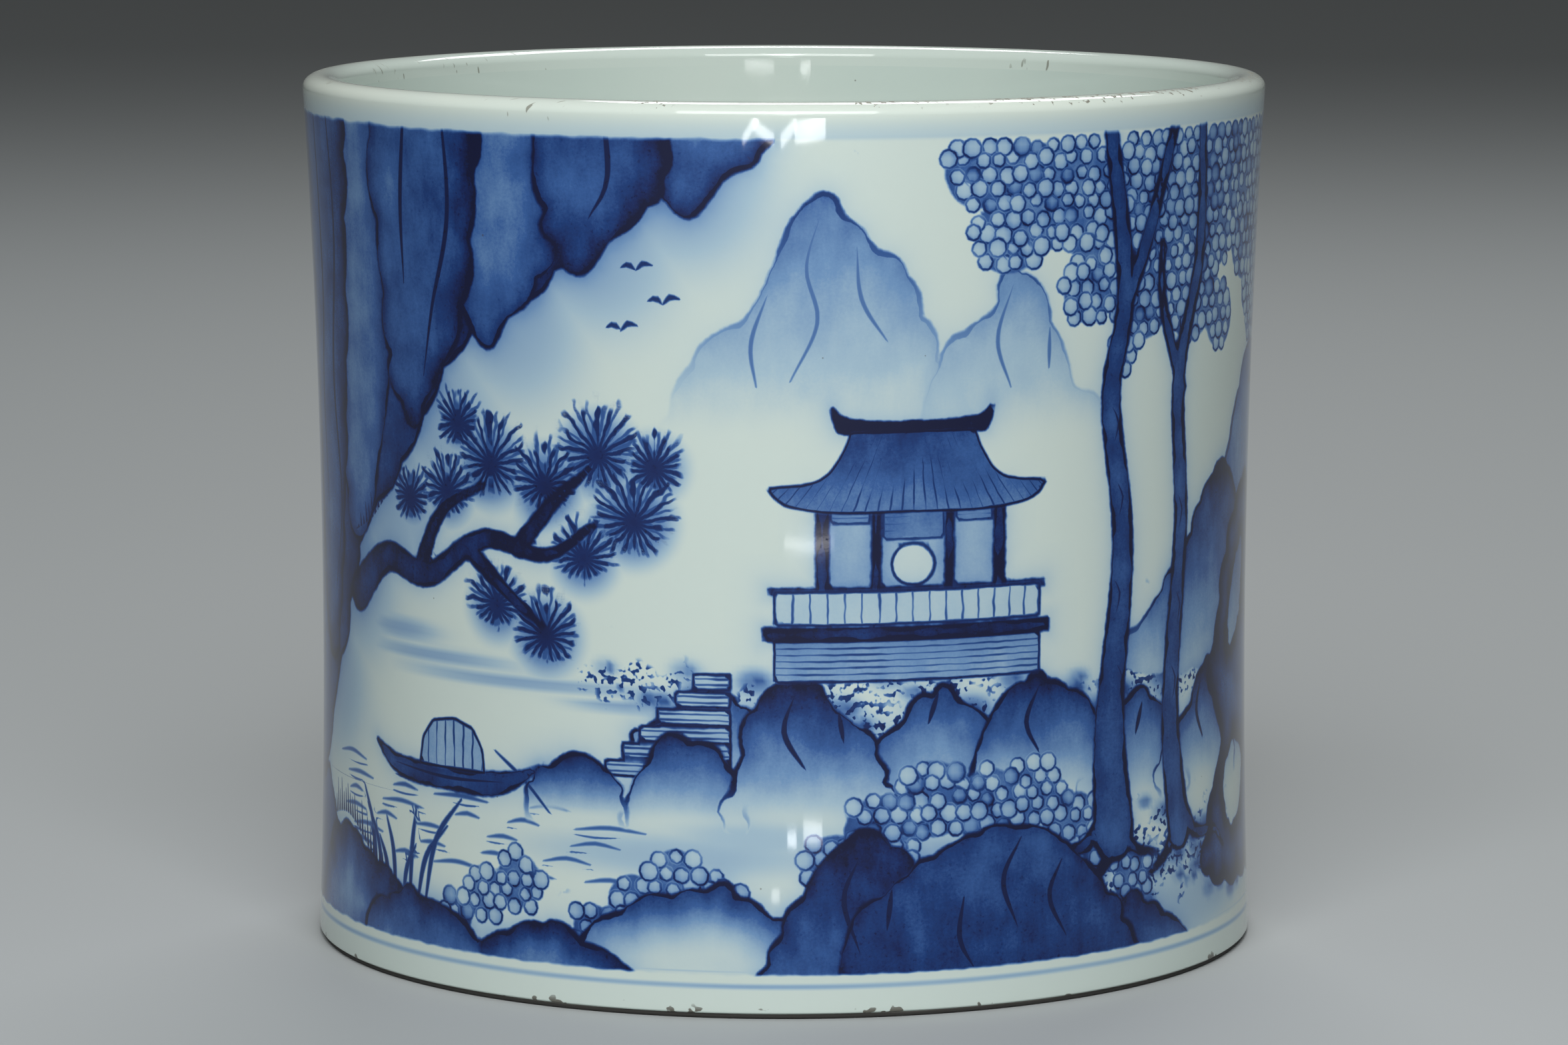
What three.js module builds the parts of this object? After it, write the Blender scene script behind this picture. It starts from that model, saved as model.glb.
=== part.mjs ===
// A porcelain brush pot: one slightly waisted wall, a floor slab luted into its foot, and the
// coats of glaze over both. Millimetres, +Z up. The origin is the centre of the resting plane.
import * as THREE from "three";

// Outside form, measured over the glaze
const height = 167.6;
const rimDiameter = 186;
const waistInset = 2.95;
const footInset = 1.7;
const waistHeight = 62;

// Wall, measured over the glaze on both faces
const rimWall = 6.8;
const footWall = 8.4;
const lipRise = 2.4;

// Foot and floor
const footChamfer = 0.7;
const bareBand = 0.3;
const ledgeHeight = 4.2;
const ledgeWidth = 5;
const slabLift = 0.6;
const floorHeight = 10;
const cornerRadius = 5;
const recessDiameter = 62;
const recessDepth = 2.2;

// Coats of glaze
const outerCoat = 0.5;
const innerCoat = 0.5;
const lipCoat = 0.4;
const baseCoat = 0.5;
const lipCoatDrop = 1.6;
const recessBareRing = 0.6;

// How finely the round forms are faceted
const facetsAround = 64;
const wallSteps = 7;
const lipSteps = 8;
const cornerSteps = 4;

// Heights that several pieces share
const bareTop = footChamfer + bareBand;
const lipBase = height - lipRise;
const coatSeam = lipBase - lipCoatDrop;
const slabTop = floorHeight - innerCoat;
const cornerTop = slabTop + cornerRadius;

const biscuit = new THREE.MeshStandardMaterial({ color: 0xe9e2d3, roughness: 0.85 });
const clearGlaze = new THREE.MeshStandardMaterial({ color: 0xdfe9e6, roughness: 0.12 });
const paintedGlaze = new THREE.MeshStandardMaterial({ color: 0x8fa6cf, roughness: 0.12 });

// Radius of the glazed outside at a height: a parabola each way from the waist, which lies inside
// the rim by its inset, to the foot and to the rim
function outsideRadius(z) {
  const below = z < waistHeight;
  const endInset = below ? footInset : 0;
  const span = below ? waistHeight : lipBase - waistHeight;
  const reach = (z - waistHeight) / span;
  return rimDiameter / 2 - waistInset + (waistInset - endInset) * reach * reach;
}

// Radius of the glazed inside: the wall thins evenly from foot to rim
function insideRadius(z) {
  return outsideRadius(z) - footWall - ((rimWall - footWall) * z) / height;
}

// The bare clay under the two coats
const clayOutside = (z) => outsideRadius(z) - outerCoat;
const clayInside = (z) => insideRadius(z) + innerCoat;

// Below the inside corner the wall's inside is upright, so that the slab and the coil fit it
const wellRadius = clayInside(cornerTop);
const ledgeRadius = wellRadius - ledgeWidth;
const recessTop = slabLift + recessDepth;

// Points of a face that rises with the wall, one at each height
const rising = (radiusAt, heights) => heights.map((z) => new THREE.Vector2(radiusAt(z), z));

function evenHeights(low, high, steps) {
  return Array.from({ length: steps + 1 }, (_, i) => low + ((high - low) * i) / steps);
}

// Heights that both faces of a coat share with the clay, so that they meet exactly
const outerHeights = evenHeights(bareTop, coatSeam, wallSteps);
const innerHeights = evenHeights(cornerTop, coatSeam, wallSteps);

// Half an ellipse over the lip, from its outside to its inside
function lipArc(outer, inner, rise) {
  const middle = (outer + inner) / 2;
  const half = (outer - inner) / 2;
  return Array.from({ length: lipSteps + 1 }, (_, i) => {
    const turn = (Math.PI * i) / lipSteps;
    return new THREE.Vector2(middle + half * Math.cos(turn), lipBase + rise * Math.sin(turn));
  });
}

const glazedLip = lipArc(outsideRadius(lipBase), insideRadius(lipBase), lipRise);
const clayLip = lipArc(clayOutside(lipBase), clayInside(lipBase), lipRise - lipCoat);

// Quarter circle in the corner between floor and wall, from the wall down to the floor
function cornerArc(inset) {
  const middle = wellRadius - cornerRadius;
  const radius = cornerRadius - inset;
  return Array.from({ length: cornerSteps + 1 }, (_, i) => {
    const turn = (Math.PI / 2) * (i / cornerSteps);
    return new THREE.Vector2(middle + radius * Math.cos(turn), cornerTop - radius * Math.sin(turn));
  });
}

// A named piece turned about the Z axis from a profile of (radius, height) points, which runs
// anticlockwise round its section. A profile that doesn't start on the axis closes on itself.
// Each facet's diagonal rises the same way round whichever way its profile runs, so that two
// pieces which share a face share its triangles too.
function turned(name, profile, material) {
  const points = profile[0].x === 0 ? profile : [...profile, profile[0]];
  const geometry = new THREE.LatheGeometry(points, facetsAround);
  const corners = geometry.index.array;
  for (let start = 0; start < corners.length; start += 6) {
    const step = (start / 6) % (points.length - 1);
    if (points[step + 1].y < points[step].y) {
      const [a, b, d, c] = corners.slice(start, start + 4);
      corners.set([a, b, c, a, c, d], start);
    }
  }
  geometry.rotateX(Math.PI / 2);
  const mesh = new THREE.Mesh(geometry, material);
  mesh.name = name;
  return mesh;
}

// The thrown wall, with the ledge inside its foot that carries the floor slab
function wallBody() {
  return turned(
    "wall_body",
    [
      new THREE.Vector2(ledgeRadius, 0),
      new THREE.Vector2(clayOutside(0) - footChamfer, 0),
      new THREE.Vector2(clayOutside(footChamfer), footChamfer),
      ...rising(clayOutside, outerHeights),
      ...clayLip,
      ...rising(clayInside, innerHeights).reverse(),
      new THREE.Vector2(wellRadius, slabTop),
      new THREE.Vector2(wellRadius, ledgeHeight),
      new THREE.Vector2(ledgeRadius, ledgeHeight),
    ],
    biscuit,
  );
}

// The floor slab, stepped to sit on the ledge, with a shallow recess under its middle
function baseSlab() {
  return turned(
    "base_slab",
    [
      new THREE.Vector2(0, recessTop),
      new THREE.Vector2(recessDiameter / 2, recessTop),
      new THREE.Vector2(recessDiameter / 2, slabLift),
      new THREE.Vector2(ledgeRadius, slabLift),
      new THREE.Vector2(ledgeRadius, ledgeHeight),
      new THREE.Vector2(wellRadius, ledgeHeight),
      new THREE.Vector2(wellRadius, slabTop),
      new THREE.Vector2(0, slabTop),
    ],
    biscuit,
  );
}

// The coil of clay pressed into the inside corner to seal the slab to the wall
function lutingCoil() {
  return turned(
    "luting_coil",
    [new THREE.Vector2(wellRadius, slabTop), ...cornerArc(0)],
    biscuit,
  );
}

// The painted coat over the outside, from the bare foot to the lip's coat
function outerGlaze() {
  return turned(
    "outer_glaze",
    [...rising(outsideRadius, outerHeights), ...rising(clayOutside, outerHeights).reverse()],
    paintedGlaze,
  );
}

// The lining coat: floor, corner and inside wall in one
function innerGlaze() {
  return turned(
    "inner_glaze",
    [
      new THREE.Vector2(0, slabTop),
      ...cornerArc(0).reverse(),
      ...rising(clayInside, innerHeights.slice(1)),
      ...rising(insideRadius, innerHeights.slice(1)).reverse(),
      ...cornerArc(innerCoat),
      new THREE.Vector2(0, floorHeight),
    ],
    clearGlaze,
  );
}

// The coat over the lip, from the outer coat's top edge to the lining's
function lipGlaze() {
  return turned(
    "lip_glaze",
    [
      new THREE.Vector2(outsideRadius(coatSeam), coatSeam),
      ...glazedLip,
      new THREE.Vector2(insideRadius(coatSeam), coatSeam),
      new THREE.Vector2(clayInside(coatSeam), coatSeam),
      ...clayLip.toReversed(),
      new THREE.Vector2(clayOutside(coatSeam), coatSeam),
    ],
    clearGlaze,
  );
}

// The round coat in the recess under the slab, which stops short of the recess's wall
function baseGlaze() {
  const radius = recessDiameter / 2 - recessBareRing;
  return turned(
    "base_glaze",
    [
      new THREE.Vector2(0, recessTop - baseCoat),
      new THREE.Vector2(radius, recessTop - baseCoat),
      new THREE.Vector2(radius, recessTop),
      new THREE.Vector2(0, recessTop),
    ],
    clearGlaze,
  );
}

const pot = new THREE.Group();
pot.add(wallBody(), baseSlab(), lutingCoil());
pot.add(outerGlaze(), lipGlaze(), innerGlaze(), baseGlaze());

export default pot;
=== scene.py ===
"""A porcelain brush pot, painted in cobalt blue under a clear glaze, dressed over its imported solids."""
import math

import bpy
import numpy as np
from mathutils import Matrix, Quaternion, Vector


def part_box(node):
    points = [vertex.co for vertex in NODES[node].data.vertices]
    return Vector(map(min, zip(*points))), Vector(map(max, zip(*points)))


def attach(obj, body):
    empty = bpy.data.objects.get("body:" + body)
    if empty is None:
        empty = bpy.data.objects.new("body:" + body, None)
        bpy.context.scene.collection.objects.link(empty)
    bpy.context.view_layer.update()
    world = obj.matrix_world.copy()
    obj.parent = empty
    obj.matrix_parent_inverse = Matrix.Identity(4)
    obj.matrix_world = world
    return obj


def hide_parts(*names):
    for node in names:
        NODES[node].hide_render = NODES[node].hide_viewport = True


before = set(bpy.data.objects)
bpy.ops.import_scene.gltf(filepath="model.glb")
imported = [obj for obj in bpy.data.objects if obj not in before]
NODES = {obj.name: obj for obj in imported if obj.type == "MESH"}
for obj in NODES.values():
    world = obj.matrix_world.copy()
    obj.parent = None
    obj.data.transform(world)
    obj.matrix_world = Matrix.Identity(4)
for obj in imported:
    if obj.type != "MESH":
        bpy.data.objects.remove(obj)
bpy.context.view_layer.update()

MM = 0.001

# The photograph's camera, fitted to the pot's outline
CAMERA_DISTANCE = 1.19966
CAMERA_HEIGHT = 0.24075
CAMERA_PITCH = math.radians(7.6579)
CAMERA_LENS = 142.10
SENSOR_WIDTH = 36

# How finely the pieces are turned
PAINTED_COLUMNS = 576
PAINTED_ROWS = 154
BACK_ROWS = 8
PLAIN_COLUMNS = 288
WALL_ROWS = 48
LIP_ROWS = 32
CORNER_ROWS = 10
EDGE_ROWS = 5
MERGED_WITHIN = 2e-6
SMOOTH_UP_TO = math.radians(40)

# The coats' and the foot's fine edges
FOOT_ROUNDING = 0.35 * MM
GLAZE_ROLL = 0.45 * MM
TRIM_DEPTH = 0.05 * MM
TRIM_PITCH = 2.6 * MM


# The turned forms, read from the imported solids

def rings(node):
    """Radius and height, in metres, of every ring of corners of a turned node."""
    corners = np.array([v.co for v in NODES[node].data.vertices])
    radius = np.hypot(corners[:, 0], corners[:, 1])
    return np.unique(np.stack([radius, corners[:, 2]], 1).round(6), axis=0)


def face_curve(node, side, low=0.0):
    """A smooth curve of radius over height through a node's outermost (1) or innermost (-1)
    rings above a height, with the heights of its lowest and highest ring."""
    found = rings(node)
    heights = np.unique(found[found[:, 1] >= low, 1])
    radii = [side * (side * found[found[:, 1] == z, 0]).max() for z in heights]
    return np.polynomial.Polynomial.fit(heights, radii, 4), heights[0], heights[-1]


def rising(curve, low, high, rows):
    """Points of a face that rises with the wall."""
    return [(float(curve(z)), float(z)) for z in np.linspace(low, high, rows + 1)]


def arc(cx, cz, across, up, start, end, steps):
    """Points of an elliptic arc in the section, between two angles in degrees."""
    turns = np.radians(np.linspace(start, end, steps + 1))
    return [(cx + across * math.cos(t), cz + up * math.sin(t)) for t in turns]


COIL_LOW, COIL_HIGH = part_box("luting_coil")
CORNER_TOP = COIL_HIGH.z
SLAB_TOP = COIL_LOW.z
WELL_RADIUS = COIL_HIGH.x
CORNER_RADIUS = CORNER_TOP - SLAB_TOP
FLOOR_TOP = rings("inner_glaze")[rings("inner_glaze")[:, 0] == 0, 1].max()
LINING = FLOOR_TOP - SLAB_TOP
POT_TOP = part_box("lip_glaze")[1].z
CLAY_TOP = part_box("wall_body")[1].z
LIP_BASE = np.unique(rings("lip_glaze")[:, 1])[1]

# The lip's outer edge, the circle along its crown where its glaze is chipped, its inner face
LIP_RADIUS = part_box("lip_glaze")[1].x
CHIPPED_RADIUS = LIP_RADIUS - 2.5 * MM
LIP_INNER_RADIUS = LIP_RADIUS - 6.2 * MM

outside, COAT_BOTTOM, COAT_TOP = face_curve("outer_glaze", 1)
clay_outside = face_curve("outer_glaze", -1)[0]
inside = face_curve("inner_glaze", -1, CORNER_TOP)[0]
clay_inside = face_curve("inner_glaze", 1, CORNER_TOP)[0]
FOOT_RADIUS = float(clay_outside(0))


def crown(outer, inner, top, start, end, steps):
    """Points over the lip's round top, between the curves of its outer and inner face."""
    far, near = float(outer(LIP_BASE)), float(inner(LIP_BASE))
    return arc((far + near) / 2, LIP_BASE, (far - near) / 2, top - LIP_BASE, start, end, steps)


def select_only(piece):
    """Makes a piece the one that the next operators act on."""
    bpy.ops.object.select_all(action="DESELECT")
    piece.select_set(True)
    bpy.context.view_layer.objects.active = piece


def turned(name, node, profile, columns=PLAIN_COLUMNS):
    """A closed piece turned about the Z axis, which stands for a CAD node. Its profile of
    (radius, height) points starts and ends on the axis or closes on itself."""
    mesh = bpy.data.meshes.new(name)
    count = len(profile)
    edges = [(i, i + 1) for i in range(count - 1)]
    if profile[0][0] > 0:
        edges.append((count - 1, 0))
    mesh.from_pydata([(r, 0, z) for r, z in profile], edges, [])
    piece = bpy.data.objects.new(name, mesh)
    bpy.context.scene.collection.objects.link(piece)
    select_only(piece)
    bpy.ops.object.mode_set(mode="EDIT")
    bpy.ops.mesh.select_all(action="SELECT")
    bpy.ops.mesh.spin(steps=columns, angle=math.tau, center=(0, 0, 0), axis=(0, 0, 1))
    bpy.ops.mesh.select_all(action="SELECT")
    bpy.ops.mesh.remove_doubles(threshold=MERGED_WITHIN)
    bpy.ops.mesh.normals_make_consistent(inside=False)
    bpy.ops.object.mode_set(mode="OBJECT")
    bpy.ops.object.shade_smooth_by_angle(angle=SMOOTH_UP_TO)
    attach(piece, "root")
    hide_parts(node)
    return piece


def clay_wall():
    """The thrown wall of bare clay, of which only the foot shows."""
    ledge_radius = rings("wall_body")[:, 0].min()
    ledge_height = rings("wall_body")[rings("wall_body")[:, 0] == ledge_radius, 1].max()
    r = FOOT_ROUNDING
    profile = [(ledge_radius, ledge_height)]
    profile += arc(ledge_radius + r, r, r, r, 180, 270, EDGE_ROWS)
    profile += arc(FOOT_RADIUS - 2 * r, 2 * r, 2 * r, 2 * r, 270, 360, EDGE_ROWS)
    profile += rising(clay_outside, COAT_BOTTOM, COAT_TOP, BACK_ROWS)
    profile += crown(clay_outside, clay_inside, CLAY_TOP, 0, 180, LIP_ROWS // 2)
    profile += rising(clay_inside, CORNER_TOP, COAT_TOP, BACK_ROWS)[::-1]
    profile += [(WELL_RADIUS, SLAB_TOP), (WELL_RADIUS, ledge_height)]
    return turned("clay_wall", "wall_body", profile)


def floor_slab():
    """The slab luted into the wall's foot, with the fine rings that trimming left below."""
    found = rings("base_slab")
    lift = found[:, 1].min()
    under = found[found[:, 1] == lift, 0]
    ceiling = found[(found[:, 0] == 0), 1].min()
    ledge = found[(found[:, 0] == WELL_RADIUS) | (found[:, 0] == found[:, 0].max()), 1].min()
    trimmed = np.arange(under.min() + GLAZE_ROLL, under.max(), TRIM_PITCH / 4)
    profile = [(0, ceiling), (under.min(), ceiling), (under.min(), lift + GLAZE_ROLL)]
    profile += [(r, lift + TRIM_DEPTH * (1 - math.cos(math.tau * r / TRIM_PITCH))) for r in trimmed]
    profile += [(under.max(), lift), (under.max(), ledge), (WELL_RADIUS, ledge)]
    profile += [(WELL_RADIUS, SLAB_TOP), (0, SLAB_TOP)]
    return turned("floor_slab", "base_slab", profile)


def painted_coat():
    """The outer coat, with its lower edge rolled in where the glaze stopped in the kiln."""
    bottom = float(outside(COAT_BOTTOM))
    edge = float(clay_outside(COAT_BOTTOM))
    profile = rising(outside, COAT_BOTTOM + GLAZE_ROLL, COAT_TOP, PAINTED_ROWS)
    profile += rising(clay_outside, COAT_BOTTOM, COAT_TOP, BACK_ROWS)[::-1]
    rolled = arc(edge, COAT_BOTTOM + GLAZE_ROLL, bottom - edge, GLAZE_ROLL, 270, 360, EDGE_ROWS)
    profile += rolled[1:-1]
    return turned("painted_coat", "outer_glaze", profile, PAINTED_COLUMNS)


def lip_coat():
    """The coat over the rounded lip."""
    profile = rising(outside, COAT_TOP, LIP_BASE, EDGE_ROWS)[:-1]
    profile += crown(outside, inside, POT_TOP, 0, 180, LIP_ROWS)
    profile += rising(inside, COAT_TOP, LIP_BASE, EDGE_ROWS)[-2::-1]
    profile += [(float(clay_inside(COAT_TOP)), COAT_TOP)]
    profile += crown(clay_outside, clay_inside, CLAY_TOP, 180, 0, LIP_ROWS // 2)
    profile += [(float(clay_outside(COAT_TOP)), COAT_TOP)]
    return turned("lip_coat", "lip_glaze", profile, PAINTED_COLUMNS)


def lining_coat():
    """The coat over the inside wall, the corner and the floor."""
    middle = WELL_RADIUS - CORNER_RADIUS
    near = CORNER_RADIUS - LINING
    profile = [(0, FLOOR_TOP)]
    profile += arc(middle, CORNER_TOP, near, near, 270, 360, CORNER_ROWS)
    profile += rising(inside, CORNER_TOP, COAT_TOP, WALL_ROWS)[1:]
    profile += rising(clay_inside, CORNER_TOP, COAT_TOP, BACK_ROWS)[::-1]
    profile += arc(middle, CORNER_TOP, CORNER_RADIUS, CORNER_RADIUS, 360, 270, CORNER_ROWS)[1:]
    profile += [(0, SLAB_TOP)]
    return turned("lining_coat", "inner_glaze", profile)


def base_coat():
    """The round patch of glaze in the recess under the pot, thicker in its middle."""
    low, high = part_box("base_glaze")
    depth = high.z - low.z
    profile = [(0, low.z), (0.75 * high.x, low.z + 0.05 * depth)]
    profile += arc(high.x - depth, high.z, depth, 0.9 * depth, 270, 360, EDGE_ROWS)
    profile += [(0, high.z)]
    return turned("base_coat", "base_glaze", profile)


# The painting: signed distances of brushed shapes over the unrolled wall, in mm

MEAN_RADIUS = 91
TURN = math.tau * MEAN_RADIUS
HALF = TURN / 2

# The depth held where a layer has no shape, and how far round a shape its depths are found
FAR = -20.0
REACH = 7.0

# How far apart the points of a drawn curve lie
CURVE_STEP = 1.5

# How many needles stand in each round of a pine's wheel, how far apart blades of grass are and
# how dark, and how far apart ring-shaped leaves and their rows are
NEEDLES = 18
GRASS_PITCH = 1.25
GRASS_TONE = 0.85
LEAF_PITCH = 3.2
LEAF_ROW = 0.84 * LEAF_PITCH


def wobble(t, seed, waves):
    """A closed wavy line between about -1 and 1 over t from 0 to 1, of a few random waves."""
    draw = np.random.default_rng(seed)
    total = np.zeros_like(t)
    for k in draw.integers(max(1, waves // 2), waves + 1, 5):
        total += math.sqrt(0.35) * np.sin(math.tau * (k * t + draw.random()))
    return total


def spline(before, start, end, later, step):
    """Points of one stretch of a curve through its knots, from start up to end."""
    t = np.linspace(0, 1, max(2, int(np.hypot(*(end - start)) / step) + 1))[:-1, None]
    bend = (2 * before - 5 * start + 4 * end - later) * t * t
    bend += (3 * start - before - 3 * end + later) * t ** 3
    return (2 * start + (end - before) * t + bend) / 2


def smooth(points, step=CURVE_STEP):
    """A closed curve through the points, as closely spaced points."""
    knots = np.array(points, float)
    around = zip(np.roll(knots, 1, 0), knots, np.roll(knots, -1, 0), np.roll(knots, -2, 0))
    return np.concatenate([spline(*stretch, step) for stretch in around])


def along(points):
    """An open curve through the points, as closely spaced points."""
    knots = np.array(points, float)
    ends = np.vstack([2 * knots[0] - knots[1], knots, 2 * knots[-1] - knots[-2]])
    found = [spline(*stretch, CURVE_STEP) for stretch in zip(ends, ends[1:], ends[2:], ends[3:])]
    return np.vstack(found + [knots[-1:]])


def craggy(points, bump, length, seed):
    """A closed outline with the knuckled edge of a brushed rock: rounds of uneven size and
    length, with a notch between each two."""
    curve = smooth(points)
    closed = np.vstack([curve, curve[:1]])
    far = np.concatenate([[0], np.cumsum(np.hypot(*np.diff(closed, axis=0).T))])
    where = np.arange(0, far[-1], 1.1)
    line = np.stack([np.interp(where, far, closed[:, i]) for i in (0, 1)], 1)
    t = where / far[-1]
    count = max(3, round(far[-1] / length))
    phase = (count * t + 0.42 * wobble(t, seed, 3)) % count
    size = np.random.default_rng(seed).uniform(0.1, 1.5, count)
    out = bump * (size[phase.astype(int) % count] * np.abs(np.sin(math.pi * phase)) ** 0.7 - 0.4)
    run = np.roll(line, -1, 0) - np.roll(line, 1, 0)
    normal = np.stack([run[:, 1], -run[:, 0]], 1) / np.hypot(*run.T)[:, None]
    ahead = np.roll(line, -1, 0)
    turn = np.sum(line[:, 0] * ahead[:, 1] - ahead[:, 0] * line[:, 1])
    return line + normal * (out * np.sign(turn))[:, None]


def way_along(x, y, start, run):
    """How far along a straight run each point lies, from 0 at its start to 1 at its end."""
    (ax, ay), (ex, ey) = start, run
    return np.clip(((x - ax) * ex + (y - ay) * ey) / (ex * ex + ey * ey), 0, 1)


def polygon_depth(x, y, outline):
    """How far each point lies inside a closed outline, negative outside."""
    nearest = np.full(x.shape, FAR * FAR)
    within = np.zeros(x.shape, bool)
    for (ax, ay), (bx, by) in zip(outline, np.roll(outline, -1, 0)):
        ex, ey = bx - ax, by - ay
        if ex or ey:
            t = way_along(x, y, (ax, ay), (ex, ey))
            nearest = np.minimum(nearest, (x - ax - t * ex) ** 2 + (y - ay - t * ey) ** 2)
        if ey:
            within ^= ((ay > y) != (by > y)) & (x < ex * (y - ay) / ey + ax)
    return np.where(within, 1, -1) * np.sqrt(nearest)


def stroke_depth(x, y, path, widths):
    """How far each point lies inside a brush stroke that swells and tapers along its path."""
    deepest = np.full(x.shape, FAR)
    for (ax, ay), (bx, by), wa, wb in zip(path, path[1:], widths, widths[1:]):
        ex, ey = bx - ax, by - ay
        t = way_along(x, y, (ax, ay), (ex, ey))
        gap = np.hypot(x - ax - t * ex, y - ay - t * ey)
        deepest = np.maximum(deepest, (wa + (wb - wa) * t) / 2 - gap)
    return deepest


def fade(low, high, tone_low, tone_high):
    """A wash that changes evenly with height between two heights."""
    def wash(x, y, depth):
        return tone_low + (tone_high - tone_low) * np.clip((y - low) / (high - low), 0, 1)
    return wash


def banded(edge, inside, reach, low=-99.0, high=-98.0):
    """A wash that is dark along the outline and pale inside, and gone below a height."""
    def wash(x, y, depth):
        band = np.exp(-(np.maximum(depth, 0) / reach) ** 2)
        return (inside + (edge - inside) * band) * np.clip((y - low) / (high - low), 0, 1)
    return wash


def values(wanted, x, y, depth):
    """A tone or line number at every point, from a number or from a function of place."""
    return np.broadcast_to(wanted(x, y, depth) if callable(wanted) else wanted, x.shape)


class Wall:
    """The corners of the painted skin, unrolled, and the layers of ink that lie on it.

    A layer holds three numbers for each corner, and a fourth where it is ruled. What they
    mean depends on how the layer is laid: brushed shapes hold how deep the corner lies inside
    them in mm, the tone of their wash and the tone of the line round them."""

    def __init__(self, arc_length, height):
        self.arc_length = arc_length
        self.height = height
        self.inks = {}
        self.lines = {}
        self.ranks = {}
        self.washes = {name: np.zeros(len(height), np.float32) for name in ("mist", "moss")}

    def near(self, points, reach):
        """The corners round some points, and their places without the jump at the back."""
        low, high = np.min(points, 0) - reach, np.max(points, 0) + reach
        middle = (low[0] + high[0]) / 2
        x = (self.arc_length - middle + HALF) % TURN - HALF + middle
        y = self.height
        found = np.nonzero((x > low[0]) & (x < high[0]) & (y > low[1]) & (y < high[1]))[0]
        return found, x[found], y[found]

    def merge(self, layer, found, rank, numbers, lines=0.5):
        """Adds a shape's numbers to a layer wherever no shape there ranks above it."""
        if layer not in self.inks:
            self.inks[layer] = np.zeros((len(self.height), 3), np.float32)
            self.inks[layer][:, 0] = FAR
            self.lines[layer] = np.full(len(self.height), 0.5, np.float32)
            self.ranks[layer] = np.full(len(self.height), FAR, np.float32)
        above = rank > self.ranks[layer][found]
        chosen = found[above]
        self.ranks[layer][chosen] = rank[above]
        for column, number in enumerate(numbers):
            self.inks[layer][chosen, column] = np.broadcast_to(number, rank.shape)[above]
        self.lines[layer][chosen] = np.broadcast_to(lines, rank.shape)[above]

    def shape(self, layer, outline, tone, contour=1.0, lines=0.5, holes=()):
        """A closed outline, with holes where it is pierced."""
        outline = np.array(outline, float)
        found, x, y = self.near(outline, REACH)
        depth = polygon_depth(x, y, outline)
        for hole in holes:
            depth = np.minimum(depth, -polygon_depth(x, y, np.array(hole, float)))
        tone, contour, lines = [values(v, x, y, depth) for v in (tone, contour, lines)]
        self.merge(layer, found, depth, (depth, tone, contour), lines)

    def stroke(self, layer, points, widths, tone):
        """One brush stroke through the points, with its widths spread evenly along it."""
        path = along(points)
        spread = np.linspace(0, 1, len(path))
        width = np.interp(spread, np.linspace(0, 1, len(widths)), widths)
        found, x, y = self.near(path, REACH + max(widths))
        depth = stroke_depth(x, y, path, width)
        self.merge(layer, found, depth, (depth, tone, 1.0))

    def leafage(self, rounds, seed):
        """A mass of ring-shaped leaves over the rounds, each given by its centre and radius.
        No two leaves that touch lie in the same layer, so that each is a whole ring."""
        rounds = np.array(rounds, float)
        draw = np.random.default_rng(seed)
        for cx, cy, radius in rounds:
            found, x, y = self.near([(cx, cy)], radius + REACH)
            depth = np.minimum(radius - 1 - np.hypot(x - cx, y - cy), BAND_HIGH - 1.6 - y)
            self.merge("leaf_wash", found, depth, (depth, 0.44, 0))
        low, high = (rounds[:, :2] - rounds[:, 2:]).min(0), (rounds[:, :2] + rounds[:, 2:]).max(0)
        top = min(high[1], BAND_HIGH - 0.5 * LEAF_PITCH)
        for row in range(int((top - low[1]) / LEAF_ROW) + 1):
            for column in range(int((high[0] - low[0]) / LEAF_PITCH) + 1):
                jog = draw.normal(0, 0.11 * LEAF_PITCH, 2)
                cx = low[0] + LEAF_PITCH * (column + 0.5 * (row % 2)) + jog[0]
                radius = LEAF_PITCH * draw.uniform(0.48, 0.64)
                cy = min(top - LEAF_ROW * row + jog[1], BAND_HIGH - radius)
                depth = (rounds[:, 2] - np.hypot(rounds[:, 0] - cx, rounds[:, 1] - cy)).max()
                chances = draw.uniform(0, 1, 2)
                if depth >= 0.6:
                    layer = "rings_" + "abc"[(column - (row - row % 2) // 2 - row) % 3]
                    shaded = 0.012 * min(depth, 10)
                    shaded += 0.04 * math.sin(0.17 * cx) * math.sin(0.23 * cy)
                    self.ring_leaf(layer, cx, cy, radius, shaded, chances, draw.uniform(-2.6, 1.0))

    def ring_leaf(self, layer, cx, cy, radius, shaded, chances, toward):
        """One ring-shaped leaf, darker toward one side. A few leaves are filled darker."""
        found, x, y = self.near([(cx, cy)], radius + 1.6)
        depth = radius - np.hypot(x - cx, y - cy)
        side = ((x - cx) * math.cos(toward) + (y - cy) * math.sin(toward)) / radius
        fill = 0.14 + shaded + 0.1 * chances[1] + 0.2 * (chances[0] > 0.9)
        ring = 0.54 + shaded + 0.16 * chances[1] + 0.22 * side
        self.merge(layer, found, depth, (depth, fill * (1 + 0.4 * side), ring))

    def burst(self, layer, cx, cy, radius):
        """A wheel of pine needles, numbered from its foot up both sides. The layer holds the
        depth, the way from the middle and the radius."""
        found, x, y = self.near([(cx, cy)], radius + REACH)
        from_middle = np.hypot(x - cx, y - cy)
        turn = np.abs(np.arctan2(x - cx, cy - y)) / math.tau
        depth = radius - from_middle
        self.merge(layer, found, depth, (depth, from_middle, radius), NEEDLES * turn)

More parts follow.
